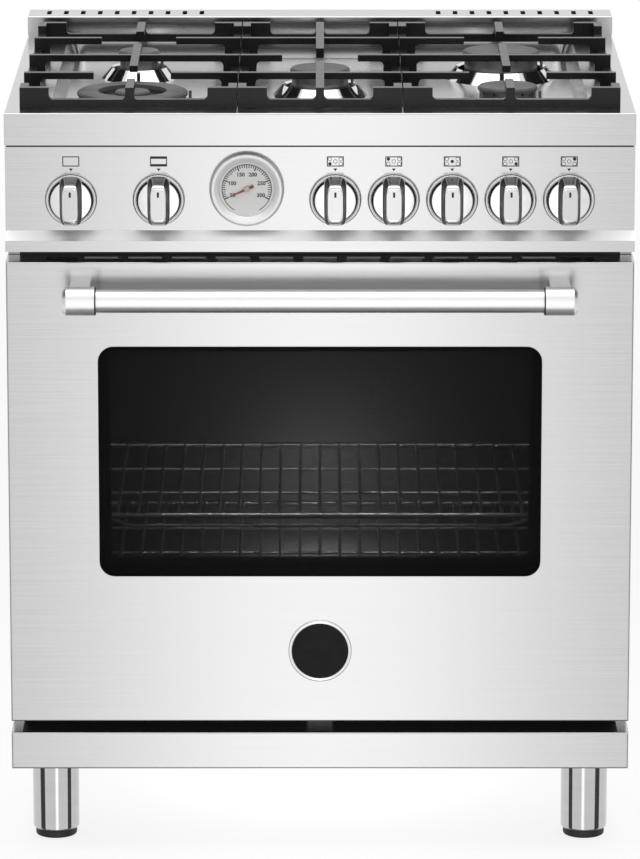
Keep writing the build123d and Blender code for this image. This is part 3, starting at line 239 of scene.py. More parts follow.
def printed_text(text, size, place):
    """Flat upright text centred on a place, as points and polygons."""
    curve = bpy.data.curves.new("print", "FONT")
    curve.body = text
    curve.size = size
    curve.align_x = "CENTER"
    curve.align_y = "CENTER"
    curve.resolution_u = 3
    curve.offset = PRINT_WEIGHT * size
    holder = bpy.data.objects.new("print", curve)
    mesh = bpy.data.meshes.new_from_object(holder)
    flat = np.zeros(len(mesh.vertices) * 3)
    mesh.vertices.foreach_get("co", flat)
    flat = flat.reshape(-1, 3)
    polygons = [tuple(p.vertices) for p in mesh.polygons]
    bpy.data.objects.remove(holder)
    bpy.data.curves.remove(curve)
    bpy.data.meshes.remove(mesh)
    return np.asarray(place) + flat[:, :1] * ACROSS + flat[:, 1:2] * UP, polygons


# Pieces


def put_mesh(name, shells, towards=None):
    """New mesh object from shells, with doubles merged.

    Closed forms point outwards. Flat ones, which get a direction, point towards it.
    """
    points = np.concatenate([np.asarray(s[0], float) for s in shells])
    starts = np.cumsum([0] + [len(s[0]) for s in shells[:-1]])
    faces = []
    for (_, polygons), start in zip(shells, starts):
        if isinstance(polygons, np.ndarray):
            faces += (polygons + start).tolist()
        else:
            faces += [[i + int(start) for i in polygon] for polygon in polygons]
    mesh = bpy.data.meshes.new(name)
    mesh.from_pydata(points.tolist(), [], faces)
    work = bmesh.new()
    work.from_mesh(mesh)
    bmesh.ops.remove_doubles(work, verts=work.verts, dist=MERGE)
    bmesh.ops.dissolve_degenerate(work, edges=work.edges, dist=SLIVER)
    if towards is None:
        bmesh.ops.recalc_face_normals(work, faces=work.faces)
    else:
        aim = Vector(towards)
        turned = [f for f in work.faces if f.normal.dot(aim) < 0]
        bmesh.ops.reverse_faces(work, faces=turned)
    work.to_mesh(mesh)
    work.free()
    mesh.update()
    piece = bpy.data.objects.new(name, mesh)
    bpy.context.scene.collection.objects.link(piece)
    return piece


def finish_piece(piece, body, look, replaces=(), crease=40.0):
    """Shades a piece, gives it its finish and lets it ride on its body."""
    piece.data.shade_smooth()
    piece.data.set_sharp_from_angle(angle=math.radians(crease))
    piece.data.materials.clear()
    piece.data.materials.append(finish(look))
    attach(piece, body)
    if replaces:
        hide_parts(*replaces)
    return piece


def put_piece(name, shells, body, look, replaces=(), towards=None):
    """New piece from shells, finished and on its body."""
    return finish_piece(put_mesh(name, shells, towards), body, look, replaces)


def edges_of(node):
    """Lowest and highest corner of a CAD node's box as arrays."""
    low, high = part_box(node)
    return np.array(low), np.array(high)


def middle(node):
    """Middle of a CAD node's box as an array."""
    low, high = edges_of(node)
    return (low + high) / 2


def panel_face():
    """Y of the control panel's face, on which the rings round the knobs stand."""
    return edges_of("knob_bezels")[1][1]


def ring_radius():
    """Outer radius of the rings round the knobs."""
    low, high = edges_of("knob_bezels")
    return (high[2] - low[2]) / 2


def round_knobs(profile, turns):
    """One profile turned round each knob's axis, standing on the panel's face."""
    places = [middle(f"knob_{knob}") for knob in KNOBS]
    return [lathe(profile, (x, panel_face(), z), FRONT, turns) for x, _, z in places]


def cast_copy(node, radius, segments):
    """Copy of a CAD node whose flat faces are joined and whose edges are rounded by a bevel."""
    flat_angle, edge_angle = math.radians(1.0), math.radians(25.0)
    piece = bpy.data.objects.new(f"{node}_cast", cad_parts[node].data.copy())
    bpy.context.scene.collection.objects.link(piece)
    work = bmesh.new()
    work.from_mesh(piece.data)
    bmesh.ops.remove_doubles(work, verts=work.verts, dist=MERGE_CAD)
    bmesh.ops.dissolve_limit(
        work, angle_limit=flat_angle, verts=work.verts, edges=work.edges, use_dissolve_boundaries=False
    )
    work.to_mesh(piece.data)
    work.free()
    bevel = piece.modifiers.new("rounded edges", "BEVEL")
    bevel.width = radius
    bevel.segments = segments
    bevel.limit_method = "ANGLE"
    bevel.angle_limit = edge_angle
    return piece


# Finishes


def add_node(tree, kind, inputs=None, **options):
    """New node in a tree: each input is a value to set or a socket to link, each option its own setting."""
    node = tree.nodes.new(kind)
    for option, value in options.items():
        setattr(node, option, value)
    for socket, value in (inputs or {}).items():
        if isinstance(value, bpy.types.NodeSocket):
            tree.links.new(value, node.inputs[socket])
        else:
            node.inputs[socket].default_value = value
    return node


def tinted(colour, factor):
    """Colour made lighter or darker by a factor, kept at or under one."""
    return tuple(min(1.0, c * factor) for c in colour[:3])


class Finish:
    """Node tree of one procedural finish on Object coordinates, with short calls for its nodes."""

    def __init__(self, name, colour, roughness, metallic=0.0):
        self.colour = colour
        self.material = bpy.data.materials.new(name)
        self.material.use_nodes = True
        self.material.diffuse_color = (*colour, 1.0)
        self.tree = self.material.node_tree
        self.shader = self.tree.nodes["Principled BSDF"]
        self.place = add_node(self.tree, "ShaderNodeTexCoord").outputs["Object"]
        self.put("Base Color", (*colour, 1.0))
        self.put("Roughness", roughness)
        self.put("Metallic", metallic)

    def put(self, socket, value):
        """Sets one of the shader's values."""
        self.shader.inputs[socket].default_value = value

    def link(self, source, socket):
        """Leads a pattern into the shader."""
        self.tree.links.new(source, self.shader.inputs[socket])

    def stretched(self, scale):
        """Object coordinates times a scale along each axis."""
        inputs = {"Scale": scale, "Vector": self.place}
        return add_node(self.tree, "ShaderNodeMapping", inputs).outputs["Vector"]

    def noise(self, scale, stretch=(1.0, 1.0, 1.0), detail=3.0):
        """Soft noise pattern."""
        inputs = {"Scale": scale, "Detail": detail, "Vector": self.stretched(stretch)}
        return add_node(self.tree, "ShaderNodeTexNoise", inputs).outputs["Fac"]

    def cells(self, scale):
        """Pattern of cells with a tone each."""
        inputs = {"Scale": scale, "Vector": self.stretched((1.0, 1.0, 1.0))}
        return add_node(self.tree, "ShaderNodeTexVoronoi", inputs).outputs["Color"]

    def between(self, pattern, low, high, start=0.3, end=0.7):
        """Number that runs from low to high while a pattern runs from start to end."""
        inputs = {"Value": pattern, "From Min": start, "From Max": end, "To Min": low, "To Max": high}
        return add_node(self.tree, "ShaderNodeMapRange", inputs).outputs["Result"]

    def shades(self, pattern, dark, light, start=0.3, end=0.7):
        """Colour that runs from dark to light while a pattern runs from start to end."""
        node = add_node(self.tree, "ShaderNodeValToRGB", {"Fac": pattern})
        for stop, place, colour in zip(node.color_ramp.elements, (start, end), (dark, light)):
            stop.position = place
            stop.color = (*colour, 1.0)
        return node.outputs["Color"]

    def tone(self, pattern, dark, light, start=0.3, end=0.7):
        """Lets a pattern move the colour between two shades of it, given as factors."""
        shades = tinted(self.colour, dark), tinted(self.colour, light)
        self.link(self.shades(pattern, *shades, start, end), "Base Color")

    def gloss(self, pattern, low, high, start=0.3, end=0.7):
        """Lets a pattern move the roughness between two values."""
        self.link(self.between(pattern, low, high, start, end), "Roughness")

    def bump(self, pattern, strength, depth):
        """Raises the surface by a pattern."""
        inputs = {"Strength": strength, "Distance": depth, "Height": pattern}
        self.link(add_node(self.tree, "ShaderNodeBump", inputs).outputs["Normal"], "Normal")


def brushed_steel(name, colour, roughness, along=(7.0, 1500.0, 1500.0)):
    """Brushed sheet: noise drawn out along the brushing moves the tone, gloss and surface a little."""
    coat = Finish(name, colour, roughness, 1.0)
    lines = coat.noise(1.0, along, 2.0)
    coat.tone(lines, 0.975, 1.02)
    coat.gloss(lines, roughness - 0.03, roughness + 0.03)
    coat.bump(lines, 0.03, 0.0001)
    return coat.material


def polished_steel(name, colour, roughness):
    """Bright turned steel with faint wiping marks in its gloss."""
    coat = Finish(name, colour, roughness, 1.0)
    marks = coat.noise(26.0, (1.0, 1.0, 2.4), 4.0)
    coat.gloss(marks, roughness * 0.85, roughness * 1.25)
    coat.tone(marks, 0.97, 1.03)
    coat.bump(coat.noise(420.0, detail=2.0), 0.003, 0.0001)
    return coat.material


def satin_metal(name, colour, roughness):
    """Satin tube and castings: a short grain along X in tone, gloss and surface."""
    coat = Finish(name, colour, roughness, 1.0)
    grain = coat.noise(1.0, (90.0, 700.0, 700.0), 3.0)
    coat.gloss(grain, roughness - 0.015, roughness + 0.02)
    coat.tone(grain, 0.98, 1.02)
    coat.bump(grain, 0.005, 0.0001)
    return coat.material


def zinc_sheet(name, colour):
    """Galvanised sheet with the crystal flakes of its zinc."""
    coat = Finish(name, colour, 0.42, 1.0)
    flakes = coat.cells(85.0)
    coat.tone(flakes, 0.78, 1.15, 0.1, 0.9)
    coat.gloss(flakes, 0.34, 0.52, 0.1, 0.9)
    coat.bump(coat.noise(60.0), 0.05, 0.0005)
    return coat.material


def vitreous_enamel(name, colour, roughness, specular=0.5):
    """Fired enamel: the slight waviness of the glass coat and fine pepper in its tone."""
    coat = Finish(name, colour, roughness)
    coat.put("Specular IOR Level", specular)
    coat.tone(coat.noise(900.0, detail=1.0), 0.8, 1.5)
    coat.gloss(coat.noise(70.0), roughness * 0.8, roughness * 1.3)
    coat.bump(coat.noise(160.0, detail=2.0), 0.06, 0.0004)
    return coat.material


def powder_paint(name, colour, roughness):
    """Powder paint with a fine pebbled surface."""
    coat = Finish(name, colour, roughness)
    pebbles = coat.noise(1400.0, detail=2.0)
    coat.tone(pebbles, 0.85, 1.2)
    coat.gloss(pebbles, roughness - 0.06, roughness + 0.06)
    coat.bump(pebbles, 0.12, 0.0002)
    return coat.material


def cast_iron(name, colour, roughness):
    """Sand-cast iron under matt enamel: grains of the mould in the surface, broad clouds in the tone."""
    coat = Finish(name, colour, roughness)
    coat.put("Specular IOR Level", 0.24)
    grains = coat.noise(1100.0, detail=4.0)
    coat.tone(coat.noise(28.0), 0.8, 1.35)
    coat.gloss(grains, roughness - 0.07, roughness + 0.1)
    coat.bump(grains, 0.22, 0.0003)
    return coat.material


def burner_metal(name, colour, roughness, metallic):
    """Die-cast burner alloy: dull, a little stained, with a fine tooth."""
    coat = Finish(name, colour, roughness, metallic)
    stain = coat.noise(40.0, detail=5.0)
    coat.tone(stain, 0.86, 1.1)
    coat.gloss(stain, roughness - 0.06, roughness + 0.08)
    coat.bump(coat.noise(800.0), 0.1, 0.0002)
    return coat.material


def wiping_haze(coat):
    """Faint level smears that a cloth leaves on glass."""
    return coat.noise(9.0, (1.0, 1.0, 3.0), 4.0)


def window_glass(name, tint):
    """Clear glass with the faintest wiping haze."""
    coat = Finish(name, tint, 0.02)
    coat.put("Transmission Weight", 1.0)
    coat.put("IOR", 1.45)
    coat.gloss(wiping_haze(coat), 0.0, 0.04, 0.35, 0.75)
    return coat.material


def coated_glass(name, tint, cover, specular):
    """Thin coated pane that covers a share of what lies behind it with its tint."""
    coat = Finish(name, tint, 0.05)
    coat.put("Alpha", cover)
    coat.put("Specular IOR Level", specular)
    haze = wiping_haze(coat)
    coat.gloss(haze, 0.03, 0.09, 0.35, 0.75)
    coat.tone(haze, 0.9, 1.1)
    return coat.material


def mineral_wool(name, colour):
    """Felted insulation: matted strands in tone and surface."""
    coat = Finish(name, colour, 0.95)
    strands = coat.noise(1.0, (60.0, 420.0, 420.0), 6.0)
    coat.tone(strands, 0.7, 1.15)
    coat.bump(strands, 0.6, 0.002)
    return coat.material


def moulded_rubber(name, colour):
    """Moulded rubber with a dull bloom."""
    coat = Finish(name, colour, 0.62)
    bloom = coat.noise(150.0, detail=4.0)
    coat.tone(bloom, 0.8, 1.5)
    coat.gloss(bloom, 0.5, 0.72)
    coat.bump(coat.noise(900.0), 0.1, 0.0002)
    return coat.material


def lacquer(name, colour, roughness):
    """Printed or lacquered colour with a fine screen grain."""
    coat = Finish(name, colour, roughness)
    grain = coat.noise(2600.0, detail=1.0)
    coat.tone(grain, 0.93, 1.06)
    coat.gloss(grain, roughness - 0.04, roughness + 0.05)
    coat.bump(grain, 0.02, 0.0001)
    return coat.material


# Each finish: its maker and the maker's values. A word is a field of RangeFinish.
FINISHES = {
    "brushed_steel": (brushed_steel, "steel", "steel_roughness"),
    "polished_steel": (polished_steel, "bright_steel", "bright_roughness"),
    "satin_metal": (satin_metal, "handle", "handle_roughness"),
    "galvanised": (zinc_sheet, "zinc"),
    "black_enamel": (vitreous_enamel, "enamel", 0.22),
    "black_paint": (powder_paint, "vent_paint", 0.45),
    "cast_iron": (cast_iron, "iron", "iron_roughness"),
    "burner_alloy": (burner_metal, "burner", 0.42, 0.9),
    "brass": (satin_metal, "brass", 0.28),
    "dark_glass": (coated_glass, "window_tint", "window_cover", 0.04),
    "clear_glass": (window_glass, (0.96, 0.97, 0.97)),
    "blanket": (mineral_wool, (0.62, 0.58, 0.45)),
    "rubber": (moulded_rubber, "rubber"),
    "dial_white": (lacquer, "dial", 0.4),
    "needle_red": (lacquer, "needle", 0.35),
    "chrome_wire": (polished_steel, "wire", 0.30),
    "burner_cap": (cast_iron, "cap", 0.5),
    # also the black strip of painted shade in the gap under the door
    "print_black": (lacquer, "print_ink", 0.5),
    # painted shade: black on the knobs' flanks, which are the knob's own steel
    "dark_flank": (vitreous_enamel, "flank", 0.4, 0.15),
    "grip_face": (brushed_steel, "steel", 0.22, (900.0, 900.0, 14.0)),
    # painted shade: a darker copy of the polished steel on the grips' ends
    "grip_end": (polished_steel, "grip_end", 0.22),
    "hub_cream": (lacquer, (0.62, 0.55, 0.42), 0.35),
    # painted highlight: light grey strips at the door's air slots
    "vent_lip": (lacquer, (0.55, 0.55, 0.55), 0.4),
    "bezel_ring": (satin_metal, "bezel_ring", 0.22),
    "badge_black": (vitreous_enamel, "flank", 0.3, 0.12),
    "coated_glass": (coated_glass, (0.5, 0.51, 0.51), 0.03, 0.1),
    "bezel_satin": (satin_metal, "bezel", 0.58),
    "leg_steel": (polished_steel, "leg", 0.06),
    "cone_steel": (polished_steel, "bright_steel", 0.07),
    # painted light: a lighter copy of the brushed steel for the upward-facing ledge
    "ledge_steel": (brushed_steel, "ledge", 0.5),
}
MADE = {}


def finish(name):
    """One of the finishes, made once from the user's colours."""
    if name not in MADE:
        look = bpy.context.scene.range_finish
        maker, *values = FINISHES[name]
        MADE[name] = maker(name, *(getattr(look, v) if isinstance(v, str) else v for v in values))
    return MADE[name]


def dress(name, *nodes):
    """Puts one finish on every material slot of CAD nodes that stay as they are."""
    for node in nodes:
        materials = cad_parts[node].data.materials
        if not materials:
            materials.append(finish(name))
        for index in range(len(materials)):
            materials[index] = finish(name)


# What a user can change


def colour_field(label, default, note):
    """Colour property in linear RGB."""
    return FloatVectorProperty(
        name=label, description=note, default=default, subtype="COLOR", size=3, min=0.0, max=1.0
    )


def number_field(label, default, note, **kind):
    """Number property, with its limits, unit or subtype."""
    return FloatProperty(name=label, description=note, default=default, **kind)


def length_field(label, default, note):
    """Length property in metres."""
    return number_field(label, default, note, min=0.0, unit="LENGTH", precision=5)


def share_field(label, default, note):
    """Number between nought and one."""
    return number_field(label, default, note, min=0.0, max=1.0, subtype="FACTOR")


class RangeFinish(bpy.types.PropertyGroup):
    """Colours and gloss of the range's finishes."""

    steel: colour_field("Brushed steel", (0.51, 0.51, 0.513), "Tone of the brushed panels")
    steel_roughness: share_field("Brushed roughness", 0.20, "Gloss of the brushed panels")
    bright_steel: colour_field("Polished steel", (0.72, 0.72, 0.725), "Tone of knobs, badge ring and cones")
    bright_roughness: share_field("Polished roughness", 0.15, "Gloss of the knobs and the badge's ring")
    # Lighter steel of the ledge's strip: painted light where the ledge faces up.
    ledge: colour_field("Ledge steel", (0.74, 0.74, 0.745), "Tone of the sloped ledge under the knobs")
    bezel: colour_field("Bezel", (0.80, 0.80, 0.805), "Tone of the thermometer's bezel")
    leg: colour_field("Leg steel", (0.52, 0.52, 0.525), "Tone of the polished legs")
    handle: colour_field("Handle", (0.80, 0.80, 0.805), "Tone of the satin handle")
    handle_roughness: share_field("Handle roughness", 0.36, "Gloss of the satin handle")
    zinc: colour_field("Galvanised sheet", (0.48, 0.49, 0.50), "Tone of the hidden sheet metal")
    enamel: colour_field("Oven enamel", (0.030, 0.030, 0.031), "Tone of the oven's lining")
    vent_paint: colour_field("Vent paint", (0.012, 0.012, 0.012), "Tone of the vent strip")
    iron: colour_field("Grate iron", (0.007, 0.007, 0.0073), "Tone of the cast grates")
    iron_roughness: share_field("Grate roughness", 0.27, "Gloss of the cast grates")
    cap: colour_field("Burner cap", (0.10, 0.10, 0.103), "Tone of the burner caps")
    burner: colour_field("Burner alloy", (0.17, 0.168, 0.165), "Tone of the burner heads")
    brass: colour_field("Brass", (0.62, 0.42, 0.14), "Tone of brass fittings")
    window_tint: colour_field("Window tint", (0.003, 0.003, 0.003), "Tint of the oven window")
    window_cover: share_field("Window cover", 0.62, "Share of the oven that the tint hides")
    # The feet and door gasket have this black as their own colour; the knob-gap rings and the line under the
    # apron use it as painted shade.
    rubber: colour_field("Rubber", (0.012, 0.012, 0.012), "Tone of the feet, seals and gaskets")
    dial: colour_field("Dial", (0.88, 0.88, 0.87), "Tone of the thermometer's face")
    needle: colour_field("Needle", (0.26, 0.03, 0.022), "Tone of the thermometer's needle")
    wire: colour_field("Rack wire", (0.72, 0.72, 0.73), "Tone of racks and rack guides")
    # Painted shade: darker steel on the grips' ends.
    grip_end: colour_field("Grip ends", (0.40, 0.40, 0.405), "Tone of the knobs' sloped ends")
    bezel_ring: colour_field("Knob rings", (0.60, 0.60, 0.605), "Tone of the rings round the knobs")
    # The knobs' flanks take this black as painted shade; the badge has it as its own enamel colour.
    flank: colour_field("Black enamel", (0.006, 0.006, 0.006), "Tone of the knobs' flanks and the badge")
    print_ink: colour_field("Print", (0.006, 0.006, 0.006), "Tone of the printed signs")


class RangeForm(bpy.types.PropertyGroup):
    """Sizes of the pieces that are shaped here."""

    grip_base: length_field("Grip base", 0.0280, "Width of a knob's bar where it leaves the disc")
    grip_face: length_field("Grip face", 0.0205, "Width of a knob's bar at its front")
    grip_roll: length_field("Grip roll", 0.0014, "How far the bar's front edge rolls over sideways")
    flank_share: share_field("Dark flank", 0.40, "Faces of the bar that look less forwards than this are dark")
    grip_slope: length_field("Grip slope", 0.0060, "How far the bar's ends lean in towards the front")
    grip_end_roll: length_field("Grip end roll", 0.0062, "How far the bar's ends roll over")
    lip_height: length_field("Lip height", 0.0133, "Height of the lip under the ledge")
    ledge_rise: length_field("Ledge rise", 0.0103, "Rise of the sloped ledge")
    bezel_band: length_field("Bezel band", 0.0053, "Width of the rings round the knobs")
    # The gap looks dark through the black rings of painted shade drawn in it.
    knob_gap: length_field("Knob gap", 0.0013, "Dark gap between a knob's disc and its ring")
    disc_edge: length_field("Disc edge", 0.0013, "Rounding of a knob's disc")
    print_lift: length_field("Print lift", 0.00006, "How far a print lies above its panel")
    sign_line: length_field("Sign line", 0.0012, "Line width of the burner signs")
    sign_height: length_field("Sign height", 0.0463, "Height of a sign's middle above the knob's middle")
    cast_edge: length_field("Cast edge", 0.0016, "Edge rounding of the grates")
    leg_edge: length_field("Leg edge", 0.0035, "Edge rounding at the foot of a leg")
    wire_sides: IntProperty(name="Wire sides", description="Faces round a rack wire", default=10, min=6, max=24)
    turns: IntProperty(name="Turned faces", description="Faces round a turned piece", default=96, min=24, max=192)


class RangeStage(bpy.types.PropertyGroup):
    """Camera, lamps and floor."""

    camera_back: length_field("Camera distance", 7.0, "Distance of the camera in front of the middle")
    camera_height: length_field("Camera height", 2.1028, "Height of the camera above the floor")
    camera_tilt: number_field("Camera tilt", 0.2295, "Angle below the horizon", subtype="ANGLE", unit="ROTATION")
    camera_lens: number_field("Lens", 238.64, "Focal length in mm on a 36 mm sensor", min=10.0)
    front_power: number_field("Front lamp", 7.0, "Power of the tall front lamp", unit="POWER")
    top_power: number_field("Top lamp", 26.0, "Power of the wide top lamp", unit="POWER")
    oven_power: number_field("Oven lamp", 6.0, "Power of the lamp in the oven", unit="POWER")
    rack_power: number_field("Rack lamp", 1.2, "Power of the lamp over the racks", unit="POWER")
    sky: number_field("Room light", 0.55, "Strength of the even room light", min=0.0)
    card_glow: number_field("Front card", 2.05, "Brightness of the card that the steel reflects", min=0.0)
    card_half: length_field("Card half width", 0.62, "Half the width of that card")
    ground_tone: number_field("Ground", 0.22, "Brightness of the ground in polished metal", min=0.0)
    floor_reach: length_field("Floor", 5.0, "Radius at which the floor has faded out")


WHITE = (1.0, 1.0, 1.0, 1.0)
# Lamps: place, target, width, height. In the oven, heights are from its floor or its roof.
FRONT_LAMP = ((0.0, -3.2, 1.15), (0.0, 0.0, 0.55), 0.55, 2.4)
TOP_LAMP = ((0.0, -0.3, 3.0), (0.0, 0.0, 0.9), 2.6, 2.0)
RACK_LAMP_Y, RACK_LAMP_DROP, RACK_LAMP_WIDTH, RACK_LAMP_HEIGHT = -0.215, 0.03, 0.42, 0.04
RACK_TARGET_Y, RACK_TARGET_RISE = -0.10, 0.1
BULB_Y, BULB_RISE, BULB_RADIUS = 0.10, 0.115, 0.02
# Floor: its own tone, and what the camera sees of it, a glow and a share of the lamps' light
PAPER, PAPER_DARK, PAPER_LIGHT = (0.82, 0.82, 0.82), (0.81, 0.81, 0.81), (0.83, 0.83, 0.83)
FLOOR_GLOW, FLOOR_SHADE = 0.72, (0.30, 0.30, 0.30, 1.0)
# What the steel mirrors: a card that reaches down to the ground, the ground's sides, and flags,
# each with its first and last angle in degrees, lower and upper edge, and brightness
CARD_Y, CARD_TOP, GROUND_Z = -3.2, 1.7, -2.6
GROUND_BOX = (-3.0, 3.0, -3.1, 1.5)
FLAG_RADIUS, FLAG_STEPS = 3.0, 13
FLAGS = (("front", 55.0, 78.0, -2.5, 2.5, 0.08), ("side", 88.0, 132.0, 1.1, 5.2, 0.012))


class RANGE_OT_stage(bpy.types.Operator):
    """Camera, lamps, white room, pale floor with the range's shadow, and what the steel mirrors"""

    bl_idname = "range.stage"
    bl_label = "Stage"

    def execute(self, context):
        stage = context.scene.range_stage
        context.scene.view_settings.view_transform = "Standard"
        self.camera(context, stage)
        self.lamps(context, stage)
        self.surroundings(context, stage.sky)
        self.floor(stage.floor_reach)
        self.mirrored_cards(stage)
        self.flags()
        return {"FINISHED"}

    def camera(self, context, stage):
        """Camera before the middle of the range, tilted down."""
        data = bpy.data.cameras.new("camera")
        data.lens = stage.camera_lens
        data.sensor_width = 36.0
        data.clip_end = 100.0
        camera = bpy.data.objects.new("camera", data)
        camera.location = (0.0, -stage.camera_back, stage.camera_height)
        camera.rotation_euler = (math.pi / 2 - stage.camera_tilt, 0.0, 0.0)
        context.scene.collection.objects.link(camera)
        context.scene.camera = camera

    def lamps(self, context, stage):
        """A front lamp that mirrors don't show, a top lamp, and two lamps in the oven."""
        front = self.lamp(context, "front_lamp", *FRONT_LAMP, stage.front_power)
        front.visible_glossy = False
        self.lamp(context, "top_lamp", *TOP_LAMP, stage.top_power)
        low, high = edges_of("oven_liner")
        self.bulb(context, "oven_glow", (0.0, BULB_Y, low[2] + BULB_RISE), stage.oven_power)
        place = (0.0, RACK_LAMP_Y, high[2] - RACK_LAMP_DROP)
        target = (0.0, RACK_TARGET_Y, low[2] + RACK_TARGET_RISE)
        size = RACK_LAMP_WIDTH, RACK_LAMP_HEIGHT
        shine = self.lamp(context, "rack_light", place, target, *size, stage.rack_power)
        shine.visible_diffuse = False

    def lamp(self, context, name, place, target, width, height, power):
        """Soft rectangular lamp that looks at a target."""
        data = bpy.data.lights.new(name, "AREA")
        data.shape = "RECTANGLE"
        data.size = width
        data.size_y = height
        data.energy = power
        lamp = bpy.data.objects.new(name, data)
        lamp.location = place
        lamp.rotation_euler = (Vector(target) - Vector(place)).to_track_quat("-Z", "Y").to_euler()
        context.scene.collection.objects.link(lamp)
        return lamp

    def bulb(self, context, name, place, power):
        """Shadowless point of light that mirrors don't show."""
        data = bpy.data.lights.new(name, "POINT")
        data.energy = power
        data.shadow_soft_size = BULB_RADIUS
        data.use_shadow = False
        bulb = bpy.data.objects.new(name, data)
        bulb.location = place
        bulb.visible_glossy = False
        bulb.visible_camera = False
        context.scene.collection.objects.link(bulb)

    def surroundings(self, context, strength):
        """White for camera, glossy and transmitted rays, an even softer light for the rest."""
        world = bpy.data.worlds.new("room")
        world.use_nodes = True
        tree = world.node_tree
        even = tree.nodes["Background"]
        even.inputs["Color"].default_value = WHITE
        even.inputs["Strength"].default_value = strength
        white = add_node(tree, "ShaderNodeBackground", {"Color": WHITE, "Strength": 1.0})
        rays = add_node(tree, "ShaderNodeLightPath").outputs
        inputs = {0: rays["Is Camera Ray"], 1: rays["Is Transmission Ray"]}
        seen = add_node(tree, "ShaderNodeMath", inputs, operation="ADD")
        inputs = {0: seen.outputs[0], 1: rays["Is Glossy Ray"]}
        mirrored = add_node(tree, "ShaderNodeMath", inputs, operation="ADD", use_clamp=True)
        inputs = {"Fac": mirrored.outputs[0], 1: even.outputs[0], 2: white.outputs[0]}
        mix = add_node(tree, "ShaderNodeMixShader", inputs)
        tree.links.new(mix.outputs[0], tree.nodes["World Output"].inputs["Surface"])
        context.scene.world = world

    def floor(self, reach):
        """Round floor: a flat ring grid, pale near the range and faded into the white room at its reach."""
        rings, turns, drop = 24, 64, -0.0005
        fade_start, fade_end = 0.25 * reach, 0.98 * reach
        profile = np.stack([np.linspace(0.0, reach, rings), np.zeros(rings)], -1)
        piece = put_mesh("floor", [lathe(profile, (0.0, 0.0, drop), UP, turns)], UP)
        paper = Finish("floor_paper", PAPER, 0.9)
        tree = paper.tree
        paper.link(paper.shades(paper.noise(3.0), PAPER_DARK, PAPER_LIGHT), "Base Color")
        paper.put("Specular IOR Level", 0.0)
        rays = add_node(tree, "ShaderNodeLightPath").outputs
        glow = add_node(tree, "ShaderNodeEmission", {"Strength": FLOOR_GLOW})
        pale = add_node(tree, "ShaderNodeBsdfDiffuse", {"Color": FLOOR_SHADE})
        lit = add_node(tree, "ShaderNodeAddShader", {0: glow.outputs[0], 1: pale.outputs[0]})
        inputs = {"Fac": rays["Is Camera Ray"], 1: paper.shader.outputs[0], 2: lit.outputs[0]}
        seen = add_node(tree, "ShaderNodeMixShader", inputs)
        far = add_node(tree, "ShaderNodeVectorMath", {0: paper.place}, operation="LENGTH").outputs["Value"]
        clear = add_node(tree, "ShaderNodeBsdfTransparent")
        share = paper.between(far, 0.0, 1.0, fade_start, fade_end)
        fade = add_node(tree, "ShaderNodeMixShader", {"Fac": share, 1: seen.outputs[0], 2: clear.outputs[0]})
        tree.links.new(fade.outputs[0], tree.nodes["Material Output"].inputs["Surface"])
        piece.data.materials.append(paper.material)
        piece.visible_glossy = False

    def only_mirrored(self, piece, name, brightness, half=0.0):
        """Makes a stage piece glow and lets only glossy rays see it.

        With a half width, the glow fades sideways to the room's white.
        """
        material = bpy.data.materials.new(name)
        material.use_nodes = True
        tree = material.node_tree
        tree.nodes.remove(tree.nodes["Principled BSDF"])
        glow = add_node(tree, "ShaderNodeEmission", {"Strength": brightness})
        tree.links.new(glow.outputs[0], tree.nodes["Material Output"].inputs["Surface"])
        if half:
            place = add_node(tree, "ShaderNodeTexCoord").outputs["Object"]
            x = add_node(tree, "ShaderNodeSeparateXYZ", {0: place}).outputs["X"]
            aside = add_node(tree, "ShaderNodeMath", {0: x}, operation="ABSOLUTE").outputs[0]
            inputs = {"Value": aside, "From Max": half, "To Min": brightness, "To Max": 1.0}
            fade = add_node(tree, "ShaderNodeMapRange", inputs, interpolation_type="SMOOTHSTEP")
            tree.links.new(fade.outputs["Result"], glow.inputs["Strength"])
        material.cycles.emission_sampling = "NONE"
        piece.data.materials.append(material)
        piece.visible_camera = False
        piece.visible_diffuse = False
        piece.visible_shadow = False
        piece.visible_transmission = False

    def mirrored_cards(self, stage):
        """A tall bright card before the range and a grey ground, each one flat rectangle."""
        half = stage.card_half
        card = put_mesh("front_card", [printed_boxes([(-half, half, GROUND_Z, CARD_TOP)], CARD_Y)], -FRONT)
        self.only_mirrored(card, "card_white", stage.card_glow, half)
        left, right, near, far = GROUND_BOX
        corners = [(x, y, GROUND_Z) for x, y in ((left, near), (right, near), (right, far), (left, far))]
        ground = put_mesh("ground_shade", [loose_quads(np.array(corners))], UP)
        self.only_mirrored(ground, "ground_grey", stage.ground_tone)

    def flags(self):
        """Dark cloths at both sides: each is an upright strip of a cylinder round the range."""
        for name, start, end, bottom, top, brightness in FLAGS:
            for side in (-1.0, 1.0):
                turn = np.radians(np.linspace(start, end, FLAG_STEPS)) * side
                x, y = FLAG_RADIUS * np.sin(turn), -FLAG_RADIUS * np.cos(turn)
                base = np.stack([x, y, np.full(FLAG_STEPS, bottom)], -1)
                rows = np.stack([base, base + (top - bottom) * UP])
                shell = (rows.reshape(-1, 3), grid_faces(2, FLAG_STEPS))
                piece = put_mesh(f"flag_{name}_{'left' if side < 0 else 'right'}", [shell], (-side, 0.2, 0.0))
                self.only_mirrored(piece, "flag_cloth", brightness)


